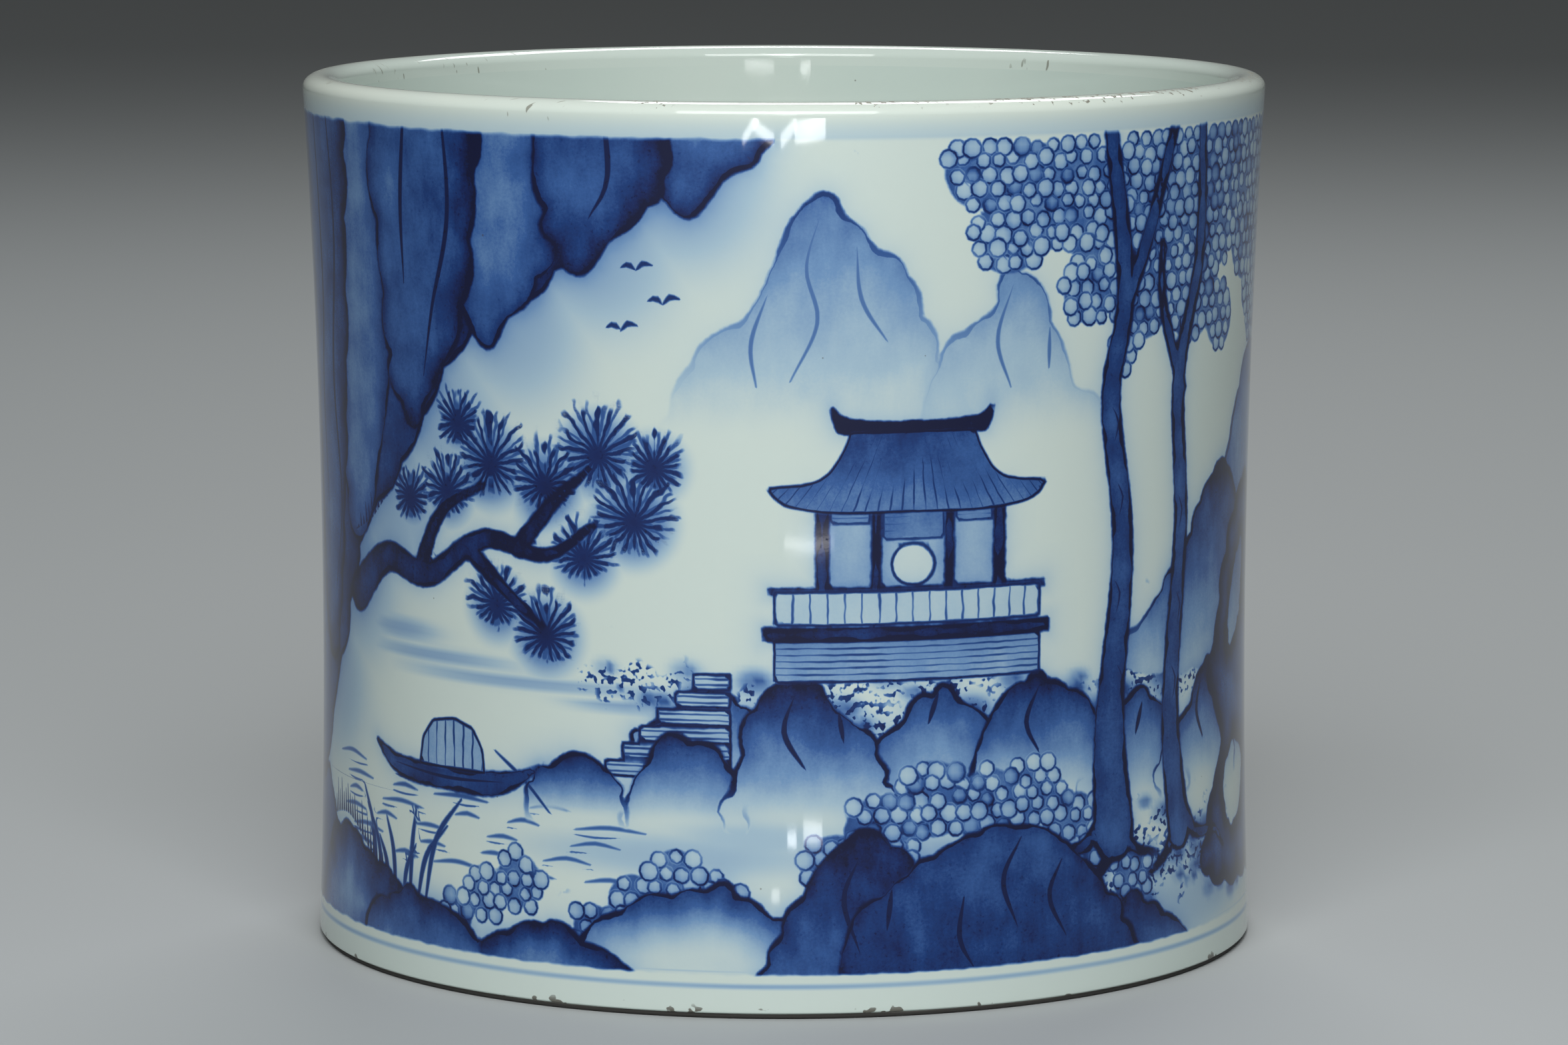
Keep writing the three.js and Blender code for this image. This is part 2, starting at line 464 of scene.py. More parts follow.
    def line(self, layer, points, width, tone):
        """A thin brush line that swells in its middle. The layer holds the way across it to
        each side, half its width, and its tone."""
        path = along(points)
        found, x, y = self.near(path, width + 4)
        best = np.full(x.shape, FAR)
        side, margin = np.zeros(x.shape), np.full(x.shape, FAR)
        last = len(path) - 2
        for i, ((ax, ay), (bx, by)) in enumerate(zip(path, path[1:])):
            ex, ey = bx - ax, by - ay
            length = math.hypot(ex, ey)
            run = ((x - ax) * ex + (y - ay) * ey) / length
            across = (ex * (y - ay) - ey * (x - ax)) / length
            past = np.maximum(0, np.maximum(-run, run - length))
            gap = np.hypot(across, past)
            spread = (i + np.clip(run / length, 0, 1)) / (last + 1)
            half = width / 2 * (0.3 + 0.7 * np.sin(math.pi * spread))
            beyond = (i == 0) * np.maximum(0, -run) + (i == last) * np.maximum(0, run - length)
            here = half - beyond - 2 * np.maximum(0, gap - half - 1)
            closer = here - gap > best
            best = np.where(closer, here - gap, best)
            side = np.where(closer, np.copysign(gap, across), side)
            margin = np.where(closer, here, margin)
        self.merge(layer, found, best, (side, margin, tone))

    def lines_along(self, layer, paths, width, tone):
        """A thin brush line along each path."""
        for path in paths:
            self.line(layer, path, width, tone)

    def fringe(self, points, height):
        """Blades of grass that stand along an edge. The layer holds the height above the
        edge, the height that blades may have there, and their tone."""
        path = along(points)
        path = path[np.argsort(path[:, 0])]
        found, x, y = self.near(path, height + 1)
        above = y - np.interp(x, path[:, 0], path[:, 1])
        ends = np.minimum(x - path[0, 0], path[-1, 0] - x)
        tall = height * np.clip(ends / 4, -1, 1)
        rank = np.where((ends > -1) & (above > -2), 5 - np.abs(above), FAR)
        self.merge("grass", found, rank, (above, tall, GRASS_TONE), x / GRASS_PITCH)

    def soft(self, wash, cx, cy, across, up, tone):
        """A soft spot of a wash, strongest in its middle."""
        found, x, y = self.near([(cx, cy)], 2 * max(across, up))
        spot = tone * np.exp(-(((x - cx) / across) ** 2 + ((y - cy) / up) ** 2) ** 1.5)
        held = self.washes[wash]
        held[found] = np.maximum(held[found], spot)

    def mist(self, tone, *spots):
        """Soft spots, each given by its middle and its half width and height."""
        for spot in spots:
            self.soft("mist", *spot, tone)


# The landscape, each motif by its places on the unrolled wall: mm round it, mm up

# The painted band, and where shapes end that run out of it
BAND_LOW = 8.2
BAND_HIGH = 161.0
OVER = 170
UNDER = 2

TILE_PITCH = 2.3


def boulder(wall, layer, cx, foot, width, height, wash, seed, lean=0.0, contour=1.0):
    """A knuckled rock with an uneven top, given by its foot's middle, its width and height."""
    draw = np.random.default_rng(seed)
    places = [(-0.5, 0), (-0.5, 0.42), (-0.3, 0.8), (-0.06, 1), (0.17, 0.86), (0.38, 0.56), (0.5, 0)]
    jogs = draw.uniform(-0.07, 0.07, (len(places), 2))
    outline = [
        (cx + width * (across + jog_x) + lean * up, foot + height * (up + jog_y * (up > 0)))
        for (across, up), (jog_x, jog_y) in zip(places, jogs)]
    wall.shape(layer, craggy(outline, 1.3, 9, seed), wash, contour)


def rocks_in_mist(wall, rocks, seed):
    """A row of boulders that fade out downwards, by turns behind and before their neighbours."""
    for i, (cx, foot, width, height, tone) in enumerate(rocks):
        wash = fade(foot + 2, foot + height, 0, tone)
        contour = fade(foot, foot + 9, 0, 1)
        layer = "bank_front" if i % 2 else "bank_back"
        boulder(wall, layer, cx, foot, width, height, wash, seed + i, 2, contour)


def tongue(wall, layer, left, right, tip_x, tip_y, tone, seed):
    """A slab of a crag that hangs from the rim, darkest down its right edge and at its tip."""
    drop = OVER - tip_y
    outline = [
        (left, OVER), (right, OVER), (right - 0.5, OVER - 0.35 * drop),
        (right - 3, OVER - 0.62 * drop), (tip_x + 6, tip_y + 7), (tip_x, tip_y),
        (tip_x - 6, tip_y + 6), (left + 1, tip_y + 0.3 * drop)]

    def wash(x, y, depth):
        to_tip = np.clip((tip_y + 16 - y) / 16, 0, 1)
        to_right = np.clip((x - left) / (right - left), 0, 1)
        pooled = np.exp(-(np.maximum(depth, 0) / 2.6) ** 2)
        return tone - 0.2 + 0.26 * to_right ** 2.5 + 0.16 * to_tip + 0.1 * pooled
    wall.shape(layer, craggy(outline, 1.5, 12, seed), wash)


def cliff(wall):
    """The tall crag on the left, in overlapping hanging slabs, with its foot in the mist."""
    behind = [
        (-196, OVER), (-16, OVER), (-24, 150), (-46, 134), (-66, 120), (-80, 100), (-98, 82),
        (-108, 62), (-120, 40), (-132, 22), (-140, UNDER), (-186, UNDER), (-192, 40), (-188, 90)]
    wall.shape("cliff_back", craggy(behind, 1.6, 12, 11), banded(0.7, 0.35, 14))
    slabs = [
        (-26, -2, -17, 147, 0.66), (-46, -20, -38, 137, 0.76), (-66, -40, -58, 121, 0.6),
        (-88, -60, -78, 106, 0.74), (-108, -82, -99, 82, 0.58), (-128, -102, -117, 58, 0.72),
        (-148, -122, -137, 36, 0.6), (-170, -142, -158, 62, 0.72), (-192, -164, -184, 96, 0.58)]
    for i, (left, right, tip_x, tip_y, tone) in enumerate(slabs):
        layer = "cliff_front" if i % 2 else "cliff_low"
        tongue(wall, layer, left, right, tip_x, tip_y, tone, 21 + i)
    at_foot = ((-140, 34, 44, 0.7), (-166, 40, 30, 0.55), (-124, 24, 22, 0.8))
    for i, (cx, width, height, tone) in enumerate(at_foot):
        boulder(wall, "cliff_foot", cx, UNDER, width, height, fade(6, height, 0.25, tone), 71 + i)
    wall.lines_along("lines_cliff", (
        [(-33, OVER), (-32, 154), (-36, 146)], [(-68, OVER), (-67, 146), (-72, 128), (-75, 115)],
        [(-77, OVER), (-80, 148), (-80, 132)],
        [(-110, OVER), (-108, 140), (-112, 112), (-109, 88), (-114, 70)],
        [(-119, OVER), (-118, 130), (-121, 108), (-119, 86)], [(-152, 120), (-149, 100), (-154, 78)],
        [(-160, 140), (-158, 116), (-161, 96)], [(-138, 30), (-136, 20), (-140, 12)]), 1.3, 0.95)
    below = (-18, 152), (-34, 140), (-52, 126), (-70, 108), (-86, 92), (-100, 74), (-112, 54)
    wall.mist(0.2, *[(cx, cy, 15, 15) for cx, cy in below])
    wall.fringe([(-101, 84), (-94, 87), (-88, 92)], 5)
    wall.fringe([(-126, 62), (-118, 60), (-108, 66)], 6)


def far_peaks(wall):
    """Misty peaks behind the pavilion, with far birds beside them."""
    behind = craggy([
        (-34, 96), (-24, 106), (-17, 121), (-6, 131), (1, 147), (8, 152), (14, 143), (22, 138),
        (29, 120), (38, 108), (46, 96)], 1.2, 10, 31)
    before = craggy([
        (16, 94), (24, 108), (30, 124), (38, 128), (43, 137), (50, 130), (57, 115), (64, 110),
        (74, 94)], 1.2, 10, 32)
    wall.shape("peaks_back", behind, fade(104, 151, 0, 0.4), fade(108, 151, 0, 0.75))
    wall.shape("peaks_front", before, fade(102, 138, 0, 0.3), fade(106, 138, 0, 0.65))
    wall.lines_along("lines_bank", (
        [(7, 149), (4, 138), (6, 128), (1, 117)], [(13, 142), (14, 132), (19, 124)],
        [(-3, 133), (-6, 124), (-5, 116)], [(43, 134), (40, 124), (43, 115)],
        [(51, 126), (51, 118)]), 0.9, 0.45)
    for x, y in ((-22, 131), (-30, 126), (-27, 137)):
        bird(wall, x, y)


def bird(wall, x, y):
    """A far bird: two brush strokes for its wings."""
    wall.line("lines_far", [(x - 2.8, y + 0.5), (x - 1.3, y + 1.3), (x, y)], 0.9, 0.8)
    wall.line("lines_cliff", [(x, y), (x + 1.4, y + 1.5), (x + 3.2, y + 1)], 0.9, 0.8)


def roof(wall, cx, eave, ridge, half_eave, half_ridge):
    """A hipped roof with lifted corners, its rows of tiles fanning from the ridge."""
    rise = ridge - eave
    corner = (half_eave + 3.5, eave + 0.33 * rise)
    lower = along([(0, eave), (0.6 * half_eave, eave), (half_eave, eave + 0.1 * rise), corner])
    hips = [(0.74 * half_eave, eave + 0.42 * rise), (0.56 * half_eave, eave + 0.75 * rise)]
    upper = along([corner, *hips, (half_ridge, ridge)])
    right = [(cx + x, y) for x, y in np.vstack([lower, upper])]
    outline = right + [(2 * cx - x, y) for x, y in right[::-1]]

    def tiles(x, y, depth):
        up = np.clip((y - eave) / rise, -0.3, 1.2)
        return (x - cx) / (half_eave + (half_ridge - half_eave) * up) * half_eave / TILE_PITCH
    wall.shape("house_front", outline, fade(eave, ridge, 0.42, 0.7), 1.0, tiles)
    half = half_ridge + 1
    wall.shape("house_mid", smooth([
        (cx - half - 2.4, ridge + 4.6), (cx - half - 1.6, ridge + 0.5), (cx - half + 2, ridge - 0.7),
        (cx + half - 2, ridge - 0.7), (cx + half + 1.6, ridge + 0.5), (cx + half + 2.4, ridge + 4.6),
        (cx + half - 1, ridge + 2.4), (cx, ridge + 1.8), (cx - half + 1, ridge + 2.4)], 1), 0.95)


def block(wall, layer, left, right, low, high, tone, contour=1.0, lines=0.5):
    """An upright rectangle, for posts, walls and platforms."""
    wall.shape(layer, [(left, low), (right, low), (right, high), (left, high)], tone, contour, lines)


def courses(pitch):
    """Level lines at a pitch, as the courses of a stone platform or the slats of a blind."""
    return lambda x, y, depth: y / pitch


def uprights(cx, pitch):
    """Upright lines at a pitch, as the bars of a railing or of a mat."""
    return lambda x, y, depth: (x - cx) / pitch


def pavilion(wall, cx, ground):
    """An open pavilion with a tiled roof on a railed stone platform."""
    block(wall, "house_back", cx - 18, cx + 18, ground + 15, ground + 34, 0.19, 0.7)
    for left, right, low, tone in ((-6, 6, 26, 0.4), (-15.7, -8, 29, 0.34), (8, 15.7, 29, 0.34)):
        blind = (cx + left, cx + right, ground + low, ground + 34)
        block(wall, "house_low", *blind, tone, 0.7, courses(1.3))
    turns = np.arange(0, math.tau, 0.3)
    moon_window = [(cx + 4.4 * math.cos(t), ground + 21.6 + 4.2 * math.sin(t)) for t in turns]
    wall.shape("house_low", moon_window, 0.03, 0.8)
    for post, width in ((-17, 2.6), (-7, 2.0), (7, 2.0), (17, 2.6)):
        left, right = cx + post - width / 2, cx + post + width / 2
        block(wall, "house_mid", left, right, ground + 10, ground + 34, 0.7)
    roof(wall, cx, ground + 31, ground + 46, 24, 12)
    block(wall, "house_low", cx - 26, cx + 26, ground, ground + 8, 0.27, 0.9, courses(1.2))
    block(wall, "house_mid", cx - 28, cx + 28, ground + 7.6, ground + 10.4, 0.75)
    rail = (cx - 26, cx + 26, ground + 10.4, ground + 17)
    block(wall, "house_rail", *rail, 0.12, 0.85, uprights(cx, 3.2))
    block(wall, "house_mid", cx - 27, cx + 27, ground + 16, ground + 17.6, 0.6)


def steps(wall, left, low, count):
    """Stone steps that climb to the right, each a block with the courses of its stones."""
    right = left + 3.4 * count + 4
    for i in range(count):
        bottom, top = low + 3.3 * i, low + 3.3 * (i + 1)
        block(wall, "steps", left + 3.4 * i, right, bottom, top, 0.14, 0.9, courses(1.1))


def terrace(wall):
    """The rocks that carry the pavilion and the trees, rising from the mist over the water."""
    rocks_in_mist(wall, (
        (-16, 42, 24, 20, 0.6), (4, 34, 30, 28, 0.85), (28, 34, 28, 28, 0.66), (50, 36, 28, 26, 0.85),
        (74, 34, 30, 22, 0.62), (98, 34, 32, 24, 0.8), (124, 32, 34, 26, 0.64),
        (150, 30, 30, 24, 0.8)), 41)
    wall.mist(0.14, (-6, 33, 16, 4), (22, 31, 14, 4), (60, 33, 12, 4))
    steps(wall, -34, 44, 6)
    for layer, cx, width, height, top, seed in (
            ("bank_front", -39, 20, 15, 48, 141), ("bank_low", -18, 22, 19, 53, 142)):
        contour = fade(34, 42, 0, 1)
        boulder(wall, layer, cx, 34, width, height, fade(36, top, 0, 0.8), seed, 0, contour)
    wall.lines_along("lines_bank", (
        [(2, 60), (0, 53), (4, 46)], [(10, 57), (11, 51)], [(50, 60), (47, 53), (50, 47)],
        [(97, 56), (95, 50), (98, 44)], [(29, 60), (27, 54)], [(76, 54), (74, 48)]), 1.2, 0.95)


def leaf(wall, x, y, angle, length):
    """One slender leaf from its stalk's end outwards, at an angle in degrees."""
    turn = math.radians(angle)
    along_x, along_y = length * math.cos(turn), length * math.sin(turn)
    middle = (x + 0.5 * along_x - 0.08 * along_y, y + 0.5 * along_y + 0.08 * along_x)
    wall.line("leaves", [(x, y), middle, (x + along_x, y + along_y)], 2.0, 0.8)


def bamboo(wall, cx, foot, top, seed):
    """Three jointed canes with hanging sprays of leaves."""
    draw = np.random.default_rng(seed)
    for offset, lean in ((-9, -7), (0, 3), (10, 8)):
        for low in range(foot, top, 17):
            high = min(low + 16, top)
            at = [cx + offset + lean * (y - foot) / (top - foot) for y in (low, high)]
            wall.stroke("canes", [(at[0], low), (at[1], high)], [2.8, 2.2, 2.8], 0.45)
            if low > foot + 20:
                for angle in [*draw.uniform(-75, 5, 3), *draw.uniform(185, 255, 3)]:
                    x, y = at[1] + draw.uniform(-3, 3), high + draw.uniform(-3, 4)
                    leaf(wall, x, y, angle, draw.uniform(9, 14))


def tall_trees(wall):
    """Two straight trees whose ring-leaved crown reaches the rim, with spreading roots."""
    wall.leafage([
        (50, 152, 13), (64, 146, 12), (42, 143, 8), (36, 155, 8), (80, 150, 15), (96, 146, 14),
        (90, 131, 11), (108, 156, 13), (74, 130, 9), (116, 140, 11), (128, 154, 13), (102, 124, 7),
        (60, 132, 7), (120, 128, 6), (142, 150, 10), (69, 121, 5), (132, 138, 11), (126, 124, 8)], 57)
    trunks = (
        ([(68, 30), (67, 52), (70, 84), (66, 112), (69, 132), (62, OVER)], [11, 7, 5.8, 5, 4.6, 3], 0.6),
        ([(68, 126), (75, 142), (84, OVER)], [4, 3.4, 2.4], 0.6),
        ([(88, 28), (85, 52), (88, 86), (86, 114), (92, 138), (90, OVER)],
         [8, 5.6, 5, 4.4, 3.6, 2.6], 0.56),
        ([(87, 112), (80, 128), (79, 140)], [3.4, 2.8, 1.8], 0.56))
    for points, widths, tone in trunks:
        wall.stroke("trunks", points, widths, tone)
    for root in (
            [(67, 36), (61, 29), (52, 27), (46, 23)], [(70, 34), (73, 27), (80, 25)],
            [(68, 32), (66, 25), (60, 21)], [(88, 34), (94, 27), (103, 26), (108, 22)],
            [(87, 32), (84, 25), (78, 21)]):
        wall.stroke("trunks", root, [4.6, 3, 2.2, 1.2], 0.62)
    for cx, top in ((69.5, 62), (68.6, 78), (69, 96), (67.4, 110), (86, 60), (87.4, 74), (87.6, 92)):
        wall.line("lines_near", [(cx - 1, top), (cx + 0.8, top - 3), (cx - 0.4, top - 7)], 0.7, 0.9)


def garden_rock(wall):
    """A tall pierced garden rock beside the trees, with a hill and a shelf of rock behind it."""
    outline = [
        (102, 16), (100, 30), (107, 42), (101, 54), (105, 68), (113, 84), (124, 92), (134, 86),
        (131, 68), (141, 54), (136, 36), (144, 16)]
    low_hole = craggy([(112, 26), (109, 35), (116, 41), (124, 36), (121, 27)], 0.8, 5, 52)
    high_hole = craggy([(113, 60), (112, 67), (117, 76), (123, 79), (121, 66)], 0.8, 5, 53)
    wash = banded(0.9, 0.6, 5)
    wall.shape("rock_a", craggy(outline, 1.7, 10, 51), wash, holes=[low_hole, high_hole])
    hill = craggy([
        (84, 58), (92, 78), (104, 92), (118, 112), (130, 118), (142, 104), (158, 92), (170, 60)],
        1.3, 11, 54)
    wall.shape("peaks_front", hill, fade(60, 112, 0.05, 0.5), fade(62, 104, 0.1, 0.85))
    shelf = craggy([
        (72, 60), (78, 72), (88, 79), (97, 92), (108, 96), (118, 88), (128, 92), (140, 80), (150, 58)],
        1.4, 9, 56)
    wall.shape("bank_back", shelf, fade(60, 94, 0.15, 0.78), fade(58, 74, 0, 1))


def moss(wall, left, right, low, high, seed):
    """Mossy ground: soft spots of wash under a scatter of fine dots."""
    draw = np.random.default_rng(seed)
    for _ in range(int((right - left) * (high - low) / 38)):
        cx, cy = draw.uniform(left, right), draw.uniform(low, high)
        across = draw.uniform(1.8, 4.2)
        wall.soft("mist", cx, cy, across, 0.65 * across, draw.uniform(0.16, 0.4))
        wall.soft("mist", cx + 0.8, cy, 0.45 * across, 0.35 * across, draw.uniform(0.35, 0.6))
    wall.soft("moss", (left + right) / 2, (low + high) / 2, (right - left) / 2, (high - low) / 2, 1)


def near_rocks(wall):
    """The dark rocks along the foot, with ring-leaved bushes behind them."""
    wall.leafage([
        (18, 34, 8), (28, 40, 8), (39, 38, 8), (49, 40, 7), (58, 33, 7), (65, 28, 6), (73, 21, 6),
        (9, 28, 7)], 58)
    wall.leafage([(-28, 21, 6), (-20, 26, 6), (-36, 16, 5), (-12, 22, 5)], 59)
    boulder(wall, "rock_a", -16, UNDER, 54, 21, banded(0.6, 0.08, 7, 6, 20), 61, 4)
    boulder(wall, "rock_b", 14, UNDER, 36, 31, fade(4, 30, 0.5, 0.82), 62, 3)
    boulder(wall, "rock_c", 46, UNDER, 58, 33, fade(4, 30, 0.8, 0.62), 63, -4)
    boulder(wall, "rock_b", 76, UNDER, 34, 17, fade(4, 18, 0.45, 0.75), 64, -3)
    boulder(wall, "rock_c", -46, UNDER, 40, 15, banded(0.78, 0.35, 5), 65, 2)
    wall.leafage([(-60, 20, 6), (-52, 23, 6), (-67, 15, 5)], 66)
    wall.mist(0.16, (-84, 12, 30, 7), (92, 14, 26, 7), (-20, 30, 30, 4))
    wall.lines_along("lines_near", (
        [(46, 32), (42, 24), (45, 15)], [(55, 27), (52, 20), (56, 12)],
        [(14, 30), (11, 22), (14, 12)], [(34, 22), (33, 14), (36, 8)], [(20, 24), (19, 16)]), 1.3, 0.95)


def boat(wall, x, y):
    """A moored boat with a mat awning, on its ripples."""
    hull = [(-25, 7), (-17, 1), (-2, 0), (12, 0.5), (22, 7.5), (15, 5.4), (2, 4.5), (-16, 5)]
    mat = [(-10, 4), (-9, 9.5), (-6, 13), (0, 14), (5, 12.5), (7.5, 8.5), (8, 4)]
    wall.shape("boat", smooth([(x + a, y + b) for a, b in hull], 1.2), 0.62)
    wall.shape("awning", [(x + a, y + b) for a, b in mat], 0.26, 1.0, uprights(x, 2.4))
    wall.line("lines_near", [(x + 10, y + 9), (x + 17, y + 4), (x + 23, y - 2)], 0.8, 0.75)
    wall.line("lines_near", [(x - 18, y + 3.4), (x - 2, y + 2.4), (x + 13, y + 3)], 0.9, 0.95)
    ripples(wall, x - 44, x + 40, y - 14, y + 3, 7)


def ripples(wall, left, right, low, high, seed):
    """Short level lines on open water."""
    draw = np.random.default_rng(seed)
    for y in np.arange(low, high, 3.2):
        x = left + draw.uniform(0, 9)
        while x < right - 8:
            run = draw.uniform(6, 15)
            crest = (x + run / 2, y + draw.uniform(0.4, 1))
            wall.line("lines_far", [(x, y), crest, (x + run, y)], 0.8, 0.5)
            x += run + draw.uniform(4, 12)


def reeds(wall, cx, foot, count, seed):
    """A clump of reeds that bend outwards."""
    draw = np.random.default_rng(seed)
    layers = ["lines_far", "lines_bank", "lines_cliff", "leaves", "lines_near"]
    for i, offset in enumerate(np.linspace(-1, 1, count)):
        tall = draw.uniform(11, 23)
        x = cx + 8 * offset
        over = offset * 8 + draw.uniform(-3, 3)
        bend, tip = (x + 0.3 * over, foot + 0.6 * tall), (x + over, foot + tall)
        wall.line(layers[i % len(layers)], [(x, foot), bend, tip], 1.25, 0.72)


def shore(wall):
    """The bank in front on the left, with reeds."""
    boulder(wall, "rock_b", -104, UNDER, 48, 26, banded(0.8, 0.3, 8), 81, 2)
    boulder(wall, "rock_c", -76, UNDER, 38, 16, fade(4, 16, 0.35, 0.75), 82)
    boulder(wall, "rock_a", -122, UNDER, 30, 34, fade(4, 34, 0.85, 0.55), 83)
    wall.fringe([(-118, 27), (-106, 29), (-96, 24), (-86, 17)], 6)
    reeds(wall, -84, 15, 8, 5)
    wall.mist(0.24, (-74, 63, 22, 1.4), (-52, 60, 30, 1.2), (-84, 67, 12, 2.2), (-30, 57, 12, 1))


def pine(wall, trunk, branches, bursts, width=8.0):
    """A leaning pine with wheels of needles. No two wheels that touch lie in one layer."""
    widths = [width, 0.72 * width, 0.6 * width, 0.5 * width, 0.36 * width, 1.8]
    wall.stroke("pine_wood", trunk, widths, 0.78)
    for branch in branches:
        wall.stroke("pine_wood", branch, [0.48 * width, 0.36 * width, 1.4], 0.78)
    laid = {"needles_" + which: [] for which in "acbd"}
    for wheel in bursts:
        for layer, others in laid.items():
            if all(math.dist(wheel[:2], other[:2]) > wheel[2] + other[2] for other in others):
                break
        wall.burst(layer, *wheel)
        others.append(wheel)


def cliff_pine(wall):
    """The pine that leans out from the crag over the water."""
    trunk = [(-100, 72), (-88, 80), (-75, 78), (-60, 86), (-46, 84), (-36, 90)]
    branches = [
        [(-78, 78), (-71, 90), (-60, 96)], [(-64, 84), (-54, 76), (-47, 71)],
        [(-52, 85), (-44, 94), (-36, 101)]]
    bursts = [
        (-58, 100, 12), (-69, 94, 10), (-35, 103, 12), (-46, 97, 11), (-28, 91, 12), (-38, 84, 10),
        (-46, 69, 11), (-57, 74, 10), (-24, 101, 9), (-66, 107, 9), (-80, 92, 9)]
    pine(wall, trunk, branches, bursts)


def back_view(wall):
    """The far side: a pale-hearted rock with bamboo, a leaning pine, and a pavilion and a boat
    by the water."""
    arch = [
        (150, UNDER), (149, 28), (155, 52), (152, 78), (162, 100), (176, 112), (190, 108), (199, 92),
        (197, 64), (206, 44), (203, 22), (212, UNDER)]
    wall.shape("rock_b", craggy(arch, 1.7, 12, 91), banded(0.85, 0.0, 10))
    boulder(wall, "rock_c", 206, UNDER, 40, 28, fade(4, 28, 0.75, 0.5), 92, 4)
    boulder(wall, "rock_c", 160, UNDER, 34, 22, fade(4, 22, 0.5, 0.8), 93)
    wall.leafage([(222, 26, 7), (232, 30, 7), (240, 24, 6), (228, 18, 6), (216, 34, 5)], 107)
    bamboo(wall, 172, 96, 160, 94)
    moss(wall, 212, 250, 8, 18, 95)
    trunk = [(226, 14), (220, 44), (230, 70), (222, 96), (236, 118), (232, 140)]
    branches = [
        [(227, 62), (214, 72), (208, 84)], [(226, 84), (240, 90), (250, 86)],
        [(224, 100), (212, 112), (206, 124)], [(234, 116), (248, 122), (256, 132)]]
    bursts = [
        (206, 86, 12), (216, 78, 10), (252, 86, 12), (243, 95, 10), (204, 126, 12), (214, 116, 10),
        (258, 134, 12), (247, 126, 11), (232, 146, 13), (222, 138, 10), (244, 144, 10), (238, 132, 10)]
    pine(wall, trunk, branches, bursts, 9)
    peak = craggy([
        (-268, 92), (-258, 104), (-248, 122), (-240, 128), (-232, 142), (-224, 136), (-214, 116),
        (-204, 104), (-196, 92)], 1.2, 10, 96)
    wall.shape("peaks_back", peak, fade(96, 142, 0, 0.32), fade(102, 142, 0, 0.6))
    pavilion(wall, -228, 52)
    moss(wall, -256, -200, 42, 55, 112)
    rocks_in_mist(wall, (
        (-262, 30, 26, 20, 0.6), (-240, 26, 30, 27, 0.78), (-214, 28, 30, 25, 0.58),
        (-192, 26, 28, 30, 0.72)), 97)
    boulder(wall, "rock_b", -226, UNDER, 48, 18, banded(0.75, 0.1, 7), 103)
    boulder(wall, "rock_c", -189, UNDER, 42, 34, fade(4, 34, 0.8, 0.55), 104)
    wall.leafage([(-250, 14, 6), (-242, 20, 6), (-234, 22, 5)], 108)
    wall.leafage([(-206, 30, 6), (-214, 26, 5)], 109)
    boat(wall, -276, 30)
    rocks_in_mist(wall, ((262, 24, 34, 22, 0.7), (244, 22, 28, 18, 0.85)), 110)
    wall.fringe([(250, 38), (258, 45), (268, 44), (276, 36)], 5)
    for x, y in ((-276, 132), (-268, 138), (-284, 141), (-272, 146), (-258, 148)):
        bird(wall, x, y)


def paint(wall):
    """The whole landscape round the pot."""
    far_peaks(wall)
    cliff(wall)
    cliff_pine(wall)
    terrace(wall)
    pavilion(wall, 24, 62)
    tall_trees(wall)
    garden_rock(wall)
    near_rocks(wall)
    boat(wall, -68, 38)
    shore(wall)
    grounds = (
        (40, 112, 14, 36), (-22, 60, 50, 64), (96, 140, 12, 24), (54, 110, 50, 66), (-44, -12, 56, 66))
    for seed, ground in enumerate(grounds, 1):
        moss(wall, *ground, seed)
    bamboo(wall, 156, 44, 128, 55)
    back_view(wall)


# How each layer is laid, from the back to the front: with brushed washes, with ruled lines this
# many mm apart, with ring-shaped leaves, with pine needles, with thin lines or with grass
LAYERS = [
    ("lines_far", "lines"), ("peaks_back", "brushed"), ("peaks_front", "brushed"),
    ("cliff_back", "brushed"), ("cliff_low", "brushed"), ("cliff_front", "brushed"),
    ("lines_cliff", "lines"), ("cliff_foot", "brushed"), ("grass", "grass"), ("needles_a", "needles"),
    ("needles_b", "needles"), ("pine_wood", "brushed"), ("needles_c", "needles"),
    ("needles_d", "needles"), ("bank_back", "brushed"), ("steps", 1.1), ("bank_low", "brushed"),
    ("bank_front", "brushed"), ("lines_bank", "lines"), ("house_back", 1.7), ("house_low", 1.2),
    ("house_mid", "brushed"), ("house_rail", 3.2), ("house_front", 2.0), ("canes", "brushed"),
    ("leaves", "lines"), ("leaf_wash", "brushed"), ("rings_a", "rings"), ("rings_b", "rings"),
    ("rings_c", "rings"), ("rock_a", "brushed"), ("trunks", "brushed"), ("boat", "brushed"),
    ("awning", 2.4), ("rock_b", "brushed"), ("rock_c", "brushed"), ("lines_near", "lines"),
]


# Shader trees

class Value:
    """A number, colour or direction that varies over the surface. Numbers add and multiply."""

    def __init__(self, tree, socket):
        self.tree = tree
        self.socket = socket

    def __add__(self, other):
        return self.tree.math("ADD", self, other)

    def __sub__(self, other):
        return self.tree.math("SUBTRACT", self, other)

    def __rsub__(self, other):
        return self.tree.math("SUBTRACT", other, self)

    def __mul__(self, other):
        return self.tree.math("MULTIPLY", self, other)

    def __truediv__(self, other):
        return self.tree.math("DIVIDE", self, other)


